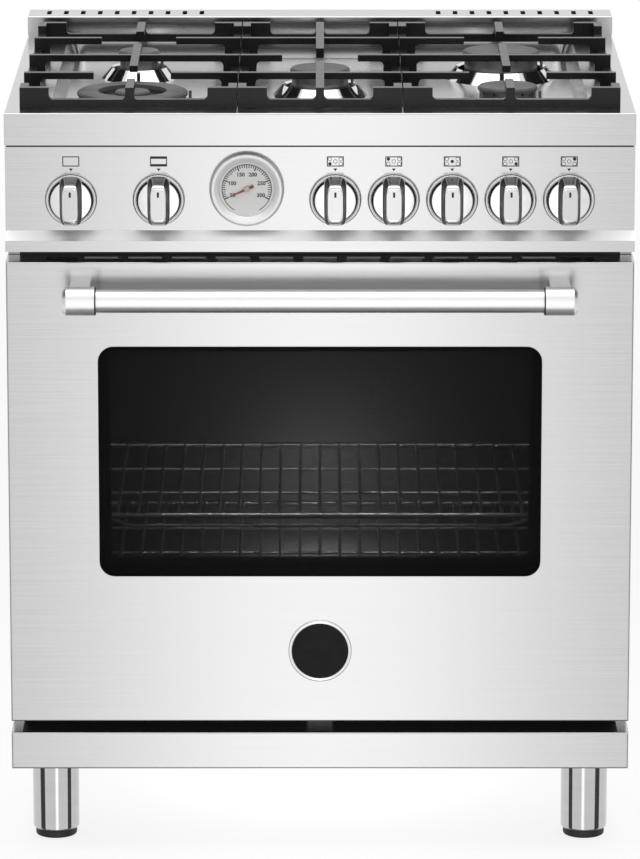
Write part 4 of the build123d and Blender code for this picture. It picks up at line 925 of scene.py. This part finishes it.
class RANGE_OT_cabinet(bpy.types.Operator):
    """Finishes of the cabinet's sheet metal, a black strip of painted shade under the door and the screws of its
    rear panel
    """

    bl_idname = "range.cabinet"
    bl_label = "Cabinet"

    def execute(self, context):
        dress("brushed_steel", "side_panels", "front_frame", "kick_panel")
        dress("galvanised", "base_pan", "rear_panel")
        dress("black_paint", "vent_trim")
        self.sill()
        self.screws()
        return {"FINISHED"}

    def sill(self):
        """Black strip of painted shade in the gap under the door, where shade falls.

        A strip lies on the kick panel's upper flange and turns up on the front frame.
        """
        inset, setback, lift, clear = 0.0135, 0.004, 0.0002, 0.0003
        skin_low, skin_high = edges_of("door_skin")
        half, top = skin_high[0] - inset, skin_low[2]
        bottom = top - KICK_GAP + lift
        front = edges_of("kick_panel")[0][1] + setback
        wall = edges_of("front_frame")[0][1] - clear
        points = drawn_across([(front, bottom), (wall, bottom), (wall, top)], -half, half)
        shell = (points, grid_faces(2, 3))
        # painted shade: black strip across the gap under the door
        put_piece("lower_sill", [shell], "cabinet", "print_black", towards=FRONT + UP)

    def screws(self):
        """Pan-head screws along the rear panel's edges: a low dome turned round each screw's axis."""
        inset, per_side = 0.012, 6
        low, high = edges_of("rear_panel")
        xs = np.linspace(low[0] + inset, high[0] - inset, per_side)
        zs = np.linspace(low[2] + inset, high[2] - inset, per_side)
        places = [(x, 0.0, z) for x in xs for z in (zs[0], zs[-1])]
        places += [(x, 0.0, z) for x in (xs[0], xs[-1]) for z in zs[1:-1]]
        button = turned_dome(radius=0.0042, wall=0.0008, rise=0.0016, steps=6)
        head = lathe(button, (0.0, high[1], 0.0), -FRONT, turns=14)
        put_piece("rear_screws", [repeated(head, places)], "cabinet", "galvanised")


class RANGE_OT_legs(bpy.types.Operator):
    """Turned legs with a rounded lower edge on round rubber feet"""

    bl_idname = "range.legs"
    bl_label = "Legs and feet"

    def execute(self, context):
        form = context.scene.range_form
        pad_gap, leg_top_edge, sole_edges = 0.0003, 0.0006, [0.003, 0.0012]
        low, high = edges_of("legs")
        foot_low, foot_high = edges_of("foot_front_left")
        foot_radius = (foot_high[0] - foot_low[0]) / 2
        leg_radius = middle("foot_front_left")[0] - low[0]
        post = turned_block(leg_radius, low[2], high[2], [form.leg_edge, leg_top_edge])
        sole = turned_block(foot_radius, 0.0, low[2] - pad_gap, sole_edges)
        shells = []
        for place in FEET:
            node = f"foot_{place}"
            centre = middle(node) * (1, 1, 0)
            shells.append(lathe(post, centre, UP, form.turns))
            pad = lathe(sole, centre, UP, form.turns)
            put_piece(f"{node}_pad", [pad], node, "rubber", (node,))
        put_piece("legs_turned", shells, "cabinet", "leg_steel", ("legs",))
        return {"FINISHED"}


# Printed signs: half sizes of the rectangle, and each burner's place in it
SIGN_HALF_X, SIGN_HALF_Z = 0.0102, 0.0062
SIGN_SPOTS = {
    "burner_front_left": (-0.0065, -0.0029),
    "burner_rear_left": (-0.0065, 0.0029),
    "burner_center": (0.0, 0.0),
    "burner_front_right": (0.0065, -0.0029),
    "burner_rear_right": (0.0065, 0.0029),
}
OWN_SPOT, OTHER_SPOT = (0.0021, 0.0), (0.0025, 0.0019)  # outer and inner radius
BAR_PLACE, BAR_HALF = 0.0046, 0.0014  # the oven sign's two bars
TIP_GAP, TIP_HALF, TIP_DROP = 0.0024, 0.0024, 0.0034  # triangle under a sign


class RANGE_OT_panel(bpy.types.Operator):
    """Control panel with its rings, its ledge and printed signs, and painted light and shade: black rings in the
    knob gaps, a light strip on the ledge and a black line under the apron
    """

    bl_idname = "range.panel"
    bl_label = "Control panel"

    def execute(self, context):
        form = context.scene.range_form
        dress("brushed_steel", "control_panel")
        self.bezels(form)
        self.signs(form)
        self.wells(form)
        self.ledge(form)
        self.apron_joint()
        return {"FINISHED"}

    def bezels(self, form):
        """Rings round the knobs: outer wall, rounded crest, dished inner wall, back on the panel."""
        low, high = edges_of("knob_bezels")
        outer, rise = ring_radius(), high[1] - low[1]
        section = dict(shoulder=0.0025, crest=0.0022, dish=0.0014, edges=[0.0002, 0.0016, 0.0018, 0.0012])
        profile = crested_ring(outer - form.bezel_band, outer, rise, **section, steps=9)
        shells = round_knobs(profile, form.turns)
        put_piece("knob_bezels_turned", shells, "cabinet", "bezel_ring", ("knob_bezels",))

    def signs(self, form):
        """Flat prints just above the panel.

        Over each knob is a rectangle and a small triangle. A burner's rectangle has a spot for each
        burner, rings with the knob's own one filled, and the oven's has two bars.
        """
        face = panel_face() - form.print_lift
        shells = []
        for knob in KNOBS:
            x, _, z = middle(f"knob_{knob}")
            z += form.sign_height
            left, right = x - SIGN_HALF_X, x + SIGN_HALF_X
            shells.append(printed_frame(left, right, z - SIGN_HALF_Z, z + SIGN_HALF_Z, form.sign_line, face))
            if knob == "oven":
                heights = [z + side * BAR_PLACE for side in (-1, 1)]
                bars = [(left, right, height - BAR_HALF, height + BAR_HALF) for height in heights]
                shells.append(printed_boxes(bars, face - form.print_lift))
            if knob in SIGN_SPOTS:
                for name, (dx, dz) in SIGN_SPOTS.items():
                    outer, hole = OWN_SPOT if name == knob else OTHER_SPOT
                    shells.append(printed_ring(x + dx, z + dz, outer, hole, face))
            tip = z - SIGN_HALF_Z - TIP_GAP
            corners = [(x - TIP_HALF, face, tip), (x + TIP_HALF, face, tip), (x, face, tip - TIP_DROP)]
            shells.append((np.array(corners), np.array([[0, 1, 2]])))
        put_piece("panel_signs", shells, "cabinet", "print_black", towards=FRONT)

    def wells(self, form):
        """Painted shade: black rings on the panel in the gap between each knob's disc and its ring, where shade
        falls; each a low turned band.
        """
        inner, under_ring, low, high = 0.0150, 0.0002, 0.0001, 0.00025
        outer = ring_radius() - form.bezel_band + under_ring
        shells = round_knobs(turned_band(inner, outer, low, high), turns=64)
        # painted shade: black rings in the gaps round the knobs' discs
        put_piece("knob_seals", shells, "cabinet", "rubber")

    def ledge(self, form):
        """Painted light on the sloped ledge: one flat strip in a lighter copy of the panel's brushed steel, from
        the lip's upper edge to the panel's foot.
        """
        low, high = edges_of("control_panel")
        inset, lift = 0.001, np.array([0.0, -0.0001, 0.00014])
        front = np.array([0.0, low[1], low[2] + form.lip_height])
        back = np.array([0.0, panel_face(), low[2] + form.lip_height + form.ledge_rise])
        ends = np.array([[low[0] + inset, 0.0, 0.0], [high[0] - inset, 0.0, 0.0]])
        points = np.concatenate([front + lift + ends, back + lift + ends[::-1]])
        shells = [loose_quads(points)]
        # painted light: a lighter copy of the panel's steel over the ledge
        put_piece("ledge_face", shells, "cabinet", "ledge_steel", towards=FRONT + UP)

    def apron_joint(self):
        """Painted shadow under the cooktop's apron: a thin square black band along the panel's upper edge, where
        the apron's shadow falls.
        """
        inset, proud, height = 0.002, 0.0006, 0.0043
        low, high = edges_of("control_panel")
        panel, apron = panel_face(), edges_of("cooktop")[0][2]
        front, foot = panel - proud, apron - height
        section = [(front, foot), (front, apron), (panel, apron), (panel, foot)]
        points = drawn_across(section, low[0] + inset, high[0] - inset)
        ends = np.array([[0, 1, 2, 3], [4, 5, 6, 7]])
        faces = np.concatenate([grid_faces(2, 4, wrap_columns=True), ends])
        # painted shadow: the rubber black stands in for the shade under the apron
        put_piece("apron_joint", [(points, faces)], "cabinet", "rubber")


class RANGE_OT_knobs(bpy.types.Operator):
    """Seven polished knobs, each a disc with a bar grip and a pointer mark"""

    bl_idname = "range.knobs"
    bl_label = "Knobs"

    def execute(self, context):
        form = context.scene.range_form
        disc_radius = ring_radius() - form.bezel_band - form.knob_gap
        back_edge = 0.0006
        plate = turned_block(disc_radius, 0.0, DISC_RISE, [back_edge, form.disc_edge])
        for knob in KNOBS:
            node = f"knob_{knob}"
            low, high = edges_of(node)
            x, back, z = (low[0] + high[0]) / 2, high[1], (low[2] + high[2]) / 2
            reach = high[1] - low[1]
            disc = lathe(plate, (x, back, z), FRONT, form.turns)
            grip = self.grip(form, (x, back, z), (high[2] - low[2]) / 2, DISC_RISE - GRIP_SINK, reach)
            piece = put_piece(f"{node}_turned", [disc, grip], node, "polished_steel", (node,))
            self.darken_flanks(form, piece, back - DISC_RISE)
            box = (x - POINTER_HALF, x + POINTER_HALF, z + POINTER_LOW, z + POINTER_HIGH)
            mark = printed_boxes([box], back - reach - form.print_lift)
            put_piece(f"{node}_pointer", [mark], node, "print_black", towards=FRONT)
        return {"FINISHED"}

    def darken_flanks(self, form, piece, disc_front):
        """Gives the grip's flanks black painted shade, its steep ends grey painted shade and its front a brushed
        finish.

        Flanks and ends are the faces in front of the disc that hardly look forwards.
        """
        flank, end, face = 1, 2, 3  # places of the three finishes after the disc's
        disc_slack, face_slack, lean = 0.0001, 0.00005, 0.5
        mesh = piece.data
        for look in ("dark_flank", "grip_end", "grip_face"):
            mesh.materials.append(finish(look))
        normals, centres = np.zeros((2, len(mesh.polygons) * 3))
        mesh.polygons.foreach_get("normal", normals)
        mesh.polygons.foreach_get("center", centres)
        sideways, forwards, upwards = np.abs(normals.reshape(-1, 3)).T
        y = centres[1::3]
        # faces that take painted shade: black on the flanks, grey on the ends
        painted_shade_mask = (forwards < form.flank_share) & (y < disc_front + disc_slack)
        choice = np.where(painted_shade_mask, np.where(sideways > lean * upwards, flank, end), 0)
        choice = np.where(y < y.min() + face_slack, face, choice)
        mesh.polygons.foreach_set("material_index", choice.astype(np.int32))

    def grip(self, form, centre, half_length, foot, reach):
        """Bar grip on a superellipse outline of fifth power.

        The outline is drawn in evenly towards the front with a slight hollow, rolled over by a
        quarter ellipse, and closed by rings that shrink to a point in its flat face.
        """
        power, roll_depth, hollow = 2.0 / 5.0, 0.006, 0.0006
        around, wall_rows, roll_rows = 120, 10, 12
        t = np.linspace(0.0, 2 * np.pi, around, endpoint=False)
        across = np.sign(np.cos(t)) * np.abs(np.cos(t)) ** power
        along = np.sign(np.sin(t)) * np.abs(np.sin(t)) ** power
        base, face = form.grip_base / 2, form.grip_face / 2
        s = np.linspace(0.0, 1.0, wall_rows)
        q = np.linspace(0.0, np.pi / 2, roll_rows)[1:]
        wall_height = foot + (reach - roll_depth - foot) * s
        wall_half = base + (face - base) * s - hollow * np.sin(np.pi * s)
        wall_long = half_length - form.grip_slope * s
        rolled_height = reach - roll_depth * (1 - np.sin(q))
        rolled_half = face - form.grip_roll * (1 - np.cos(q))
        rolled_long = half_length - form.grip_slope - form.grip_end_roll * (1 - np.cos(q))
        rings = np.array([0.985, 0.6, 0.0])  # sizes of the face's rings
        height = np.concatenate([[foot], wall_height, rolled_height, np.full(len(rings), reach)])
        half = np.concatenate([[0.0], wall_half, rolled_half, rolled_half[-1] * rings])
        long = np.concatenate([[0.0], wall_long, rolled_long, rolled_long[-1] * rings])
        x = centre[0] + half[:, None] * across
        y = centre[1] - np.repeat(height[:, None], len(t), 1)
        z = centre[2] + long[:, None] * along
        return np.stack([x, y, z], -1).reshape(-1, 3), grid_faces(len(height), len(t), wrap_columns=True)


# The dial: radii in metres, angles in degrees anticlockwise from the right
ARC_OUTER, ARC_INNER, ARC_START, ARC_END = 0.0302, 0.0293, 240.0, -60.0
SCALE_START, SCALE_END, SCALE_STEPS = 205.0, -25.0, 40
NUMBERS, NUMBER_RADIUS, NUMBER_SIZE = range(50, 350, 50), 0.0188, 0.0066
TICK_OUTER, LONG_TICK, MEDIUM_TICK, SHORT_TICK = 0.0296, 0.0238, 0.0250, 0.0260
WIDE_HALF, FINE_HALF = 0.00075, 0.00055  # half widths of the long ticks and the others


class RANGE_OT_thermometer(bpy.types.Operator):
    """Oven thermometer with its bezel, printed scale, red needle and hub"""

    bl_idname = "range.thermometer"
    bl_label = "Thermometer"

    def execute(self, context):
        form = context.scene.range_form
        dress("dial_white", "thermometer_dial")
        dress("coated_glass", "thermometer_lens")
        dress("needle_red", "thermometer_needle")
        self.case(form)
        self.scale(form)
        self.hub()
        return {"FINISHED"}

    def case(self, form):
        """Bezel and cup turned in one.

        The profile runs along the barrel behind the panel, the outer wall, the crest, the inner slope
        down to the dial and the cup's floor.
        """
        barrel_radius, play = 0.020, 0.0002
        low, high = edges_of("thermometer_case")
        dial_low, dial_high = edges_of("thermometer_dial")
        outer = (high[2] - low[2]) / 2
        well = (dial_high[2] - dial_low[2]) / 2 + play
        panel = panel_face()
        crest = panel - low[1]
        floor = panel - dial_high[1] - play
        barrel = panel - high[1]
        section = [
            (0.0, barrel),
            (barrel_radius, barrel),
            (barrel_radius, 0.0),
            (outer, 0.0),
            (outer, crest - 0.0045),
            (outer - 0.0028, crest),
            (outer - 0.0058, crest - 0.0004),
            (well + 0.0012, crest - 0.0035),
            (well, crest - 0.0045),
            (well, floor),
            (0.0, floor),
        ]
        profile = rounded(section, [0.0005, 0.0005, 0.0003, 0.0014, 0.0014, 0.0012, 0.0008, 0.0004, 0.0003])
        x, _, z = middle("thermometer_dial")
        shell = lathe(profile, (x, panel, z), FRONT, form.turns)
        put_piece("thermometer_bezel", [shell], "cabinet", "bezel_satin", ("thermometer_case",))

    def scale(self, form):
        """Printed dial: an arc, ticks of three lengths along the needle's sweep, plain numbers inside them."""
        x, _, z = middle("thermometer_dial")
        y = edges_of("thermometer_dial")[0][1] - form.print_lift
        shells = [printed_ring(x, z, ARC_OUTER, ARC_INNER, y, ARC_START, ARC_END, steps=97)]
        step = np.arange(SCALE_STEPS + 1)
        long, medium = step % 8 == 0, step % 4 == 0
        inner = np.where(long, LONG_TICK, np.where(medium, MEDIUM_TICK, SHORT_TICK))[:, None]
        half = np.where(long, WIDE_HALF, FINE_HALF)[:, None]
        angle = np.radians(np.linspace(SCALE_START, SCALE_END, len(step)))
        ray = np.stack([np.cos(angle), np.sin(angle)], -1)
        side = np.stack([-np.sin(angle), np.cos(angle)], -1) * half
        near, far = ray * inner, ray * TICK_OUTER
        corners = np.stack([near - side, far - side, far + side, near + side], 1)
        shells.append(loose_quads(upright(x + corners[..., 0], y, z + corners[..., 1])))
        turn = (SCALE_START - SCALE_END) / (len(NUMBERS) - 1)
        for index, number in enumerate(NUMBERS):
            angle = math.radians(SCALE_START - turn * index)
            place = (x + NUMBER_RADIUS * math.cos(angle), y, z + NUMBER_RADIUS * math.sin(angle))
            shells.append(printed_text(str(number), NUMBER_SIZE, place))
        put_piece("dial_scale", shells, "cabinet", "print_black", towards=FRONT)

    def hub(self):
        """Domed hub on the needle: a quarter ellipse turned round the pivot."""
        x, _, z = middle("thermometer_dial")
        front = edges_of("thermometer_needle")[0][1]
        button = turned_dome(radius=0.0034, wall=0.0003, rise=0.0009, steps=10)
        shell = lathe(button, (x, front, z), FRONT, turns=40)
        put_piece("needle_hub", [shell], "needle", "hub_cream")


class RANGE_OT_cooktop(bpy.types.Operator):
    """Cooktop, rear riser and the five burners"""

    bl_idname = "range.cooktop"
    bl_label = "Cooktop and burners"

    def execute(self, context):
        dress("brushed_steel", "cooktop", "rear_riser")
        dress("burner_alloy", "burner_bases", "burner_heads")
        dress("cone_steel", "burner_trims")
        dress("burner_cap", "burner_caps")
        return {"FINISHED"}


class RANGE_OT_grates(bpy.types.Operator):
    """Cast grates with rounded edges"""

    bl_idname = "range.grates"
    bl_label = "Grates"

    def execute(self, context):
        form = context.scene.range_form
        for side in ("left", "center", "right"):
            node = f"grate_{side}"
            piece = cast_copy(node, form.cast_edge, segments=3)
            finish_piece(piece, node, "cast_iron", (node,), crease=30.0)
        return {"FINISHED"}


# Racks: radii of the wires, then the frame, the rods, the cross wires and the lip
FRAME_WIRE, ROD_WIRE, CROSS_WIRE, LIP_WIRE = 0.004, 0.0022, 0.0021, 0.003
FRAME_BEND, RODS, ROD_PITCH, CROSS_DROP = 0.016, 21, 0.025, 0.0018
LIP_INSET, LIP_DROP, LIP_BEND = 0.020, 0.0125, 0.012
# Rack guides: radii of the wire and the studs, then the rails and the posts beside them
GUIDE_WIRE, STUD = 0.003, 0.0055
RAILS, RAIL_BEND, RAIL_MARGIN, POST_OFFSET = 5, 0.005, 0.016, 0.011


class RANGE_OT_oven(bpy.types.Operator):
    """Oven lining, lamp, racks and their wire guides"""

    bl_idname = "range.oven"
    bl_label = "Oven"

    def execute(self, context):
        form = context.scene.range_form
        dress("black_enamel", "oven_liner", "oven_floor")
        dress("blanket", "oven_insulation")
        dress("burner_alloy", "oven_burners")
        dress("clear_glass", "oven_lamp")
        for level in ("upper", "lower"):
            self.rack(f"rack_{level}", form.wire_sides)
        self.guides(form.wire_sides)
        return {"FINISHED"}

    def rack(self, node, sides):
        """Wire rack: a round frame with rounded corners, fine rods, two cross wires and a bent front lip."""
        low, high = edges_of(node)
        top, z = high[2], high[2] - FRAME_WIRE
        x, front, back = high[0] - FRAME_WIRE, low[1] + FRAME_WIRE, high[1] - FRAME_WIRE
        ring = [(0, front, z), (x, front, z), (x, back, z), (-x, back, z), (-x, front, z), (0, front, z)]
        shells = [tube(rounded(ring, FRAME_BEND, steps=8)[:-1], FRAME_WIRE, UP, sides, closed=True)]
        xs = (np.arange(RODS) - (RODS - 1) / 2) * ROD_PITCH
        rod = tube([(0, front, top - ROD_WIRE), (0, back, top - ROD_WIRE)], ROD_WIRE, UP, sides)
        shells.append(repeated(rod, xs[:, None] * ACROSS))
        cross = tube([(-x, 0, z - CROSS_DROP), (x, 0, z - CROSS_DROP)], CROSS_WIRE, UP, sides)
        step = (back - front) / 3
        shells.append(repeated(cross, [(0, front + step, 0), (0, front + 2 * step, 0)]))
        end, foot = x - LIP_INSET, x - LIP_INSET - 2 * LIP_DROP
        below = z - LIP_DROP
        lip = [(-end, front, z), (-foot, front, below), (foot, front, below), (end, front, z)]
        shells.append(tube(rounded(lip, LIP_BEND, steps=6), LIP_WIRE, FRONT, sides))
        put_piece(f"{node}_wires", shells, node, "chrome_wire", (node,))

    def guides(self, sides):
        """Wire guides at both sides: upright posts on studs and five bent rails."""
        low, high = edges_of("rack_guides")
        rail_x = edges_of("rack_upper")[1][0] - FRAME_WIRE
        post_x = rail_x + POST_OFFSET
        front, back = low[1] + GUIDE_WIRE, high[1] - GUIDE_WIRE
        bottom, top = low[2], high[2]
        rails = np.linspace(bottom + RAIL_MARGIN, top - RAIL_MARGIN, RAILS)[:, None] * UP
        shells = []
        for side in (-1, 1):
            post, rail, wall = side * post_x, side * rail_x, side * high[0]
            for y in (front, back):
                shells.append(tube([(post, y, bottom), (post, y, top)], GUIDE_WIRE, ACROSS, sides))
                stud = tube([(post, y, 0), (wall, y, 0)], STUD, UP, sides)
                shells.append(repeated(stud, rails[[0, -1]]))
            bend = [(post, front, 0), (rail, front, 0), (rail, back, 0), (post, back, 0)]
            wire = tube(rounded(bend, RAIL_BEND, steps=5), GUIDE_WIRE, UP, sides)
            shells.append(repeated(wire, rails))
        put_piece("rack_guides_wires", shells, "cabinet", "chrome_wire", ("rack_guides",))


class RANGE_OT_door(bpy.types.Operator):
    """Oven door with its window, badge disc, hinges and handle"""

    bl_idname = "range.door"
    bl_label = "Door"

    def execute(self, context):
        form = context.scene.range_form
        dress("brushed_steel", "door_skin")
        dress("black_enamel", "door_inner_panel")
        dress("dark_glass", "door_outer_glass")
        dress("coated_glass", "door_inner_glass")
        dress("rubber", "door_gasket")
        dress("galvanised", "door_hinges", "hinge_arms")
        dress("satin_metal", "handle_bar", "handle_ends")
        self.emblem(form)
        self.vent_lips()
        self.handle_joints(form)
        return {"FINISHED"}

    def emblem(self, form):
        """Bare round badge: a polished ring and a slightly domed black enamel disc inside it."""
        band, seat, wall, dome_rise = 0.004, 0.0002, 0.0012, 0.0008
        low, high = edges_of("door_emblem")
        centre = np.array([(low[0] + high[0]) / 2, high[1], (low[2] + high[2]) / 2])
        outer, rise = (high[0] - low[0]) / 2, high[1] - low[1]
        inner = outer - band
        section = dict(shoulder=0.0008, crest=0.0014, dish=0.0006, edges=[0.0002, 0.0006, 0.0008, 0.0004])
        ring = lathe(crested_ring(inner, outer, rise, **section), centre, FRONT, form.turns)
        put_piece("emblem_ring", [ring], "door", "polished_steel", ("door_emblem",))
        r = np.linspace(inner, 0.0, 12)
        dome = np.stack([r, wall + dome_rise * (1 - (r / inner) ** 2)], -1)
        profile = np.concatenate([[(0.0, seat), (inner, seat)], dome])
        disc = lathe(profile, centre, FRONT, form.turns)
        put_piece("emblem_disc", [disc], "door", "badge_black")

    def vent_lips(self):
        """Painted highlights along the air slots in the door's top: eleven thin light upright strips on its upper
        face, where the slots' edges catch the light.
        """
        count, pitch, length, rise, setback = 11, 0.0528, 0.0405, 0.0010, 0.027
        low, high = edges_of("door_skin")
        middles = (np.arange(count) - (count - 1) / 2)[:, None] * pitch
        x = middles + np.array([-0.5, 0.5, 0.5, -0.5]) * length
        z = high[2] + np.broadcast_to(np.array([0.0, 0.0, 1.0, 1.0]) * rise, x.shape)
        strips = loose_quads(upright(x, low[1] + setback, z))
        # painted highlight: light grey strips at the slots' edges
        put_piece("door_vent_lips", [strips], "door", "vent_lip", towards=FRONT)

    def handle_joints(self, form):
        """Dark rings where the handle's bar enters its ends: a short band turned round the bar's axis."""
        sunk, inset, length = 0.0003, 0.0005, 0.0016
        low, high = edges_of("handle_bar")
        ends_low, ends_high = edges_of("handle_ends")
        _, y, z = (low + high) / 2
        bar, rim = (high[2] - low[2]) / 2 - sunk, (ends_high[2] - ends_low[2]) / 2 - inset
        band = turned_band(bar, rim, 0.0, length)
        shells = [lathe(band, (side * high[0], y, z), -side * ACROSS, form.turns) for side in (-1.0, 1.0)]
        put_piece("handle_joints", shells, "door", "rubber")


class RANGE_OT_gas_works(bpy.types.Operator):
    """Finishes of the manifold, tubes, valves and their stems behind the panel"""

    bl_idname = "range.gas_works"
    bl_label = "Gas works"

    def execute(self, context):
        dress("brass", "control_bodies", *(f"valve_stem_{name}" for name in GAS_KNOBS))
        dress("satin_metal", "gas_manifold", "gas_tubes")
        return {"FINISHED"}


class RANGE_PT_sidebar(bpy.types.Panel):
    """Range settings and the operators that use them"""

    bl_idname = "RANGE_PT_sidebar"
    bl_label = "Gas range"
    bl_space_type = "VIEW_3D"
    bl_region_type = "UI"
    bl_category = "Range"

    def draw(self, context):
        layout = self.layout
        for name in GROUPS:
            group = getattr(context.scene, name)
            box = layout.box()
            for field in group.__annotations__:
                box.prop(group, field)
        for step in STEPS:
            layout.operator(step.bl_idname)


STEPS = (
    RANGE_OT_stage,
    RANGE_OT_cabinet,
    RANGE_OT_legs,
    RANGE_OT_panel,
    RANGE_OT_knobs,
    RANGE_OT_thermometer,
    RANGE_OT_cooktop,
    RANGE_OT_grates,
    RANGE_OT_oven,
    RANGE_OT_door,
    RANGE_OT_gas_works,
)
GROUPS = {"range_finish": RangeFinish, "range_form": RangeForm, "range_stage": RangeStage}


def register():
    for group in GROUPS.values():
        bpy.utils.register_class(group)
    for name, group in GROUPS.items():
        setattr(bpy.types.Scene, name, PointerProperty(type=group))
    for step in STEPS:
        bpy.utils.register_class(step)
    bpy.utils.register_class(RANGE_PT_sidebar)


def unregister():
    bpy.utils.unregister_class(RANGE_PT_sidebar)
    for step in reversed(STEPS):
        bpy.utils.unregister_class(step)
    for name in GROUPS:
        delattr(bpy.types.Scene, name)
    for group in reversed(GROUPS.values()):
        bpy.utils.unregister_class(group)


def main():
    register()
    for step in STEPS:
        area, name = step.bl_idname.split(".")
        getattr(getattr(bpy.ops, area), name)()


if __name__ == "__main__":
    main()
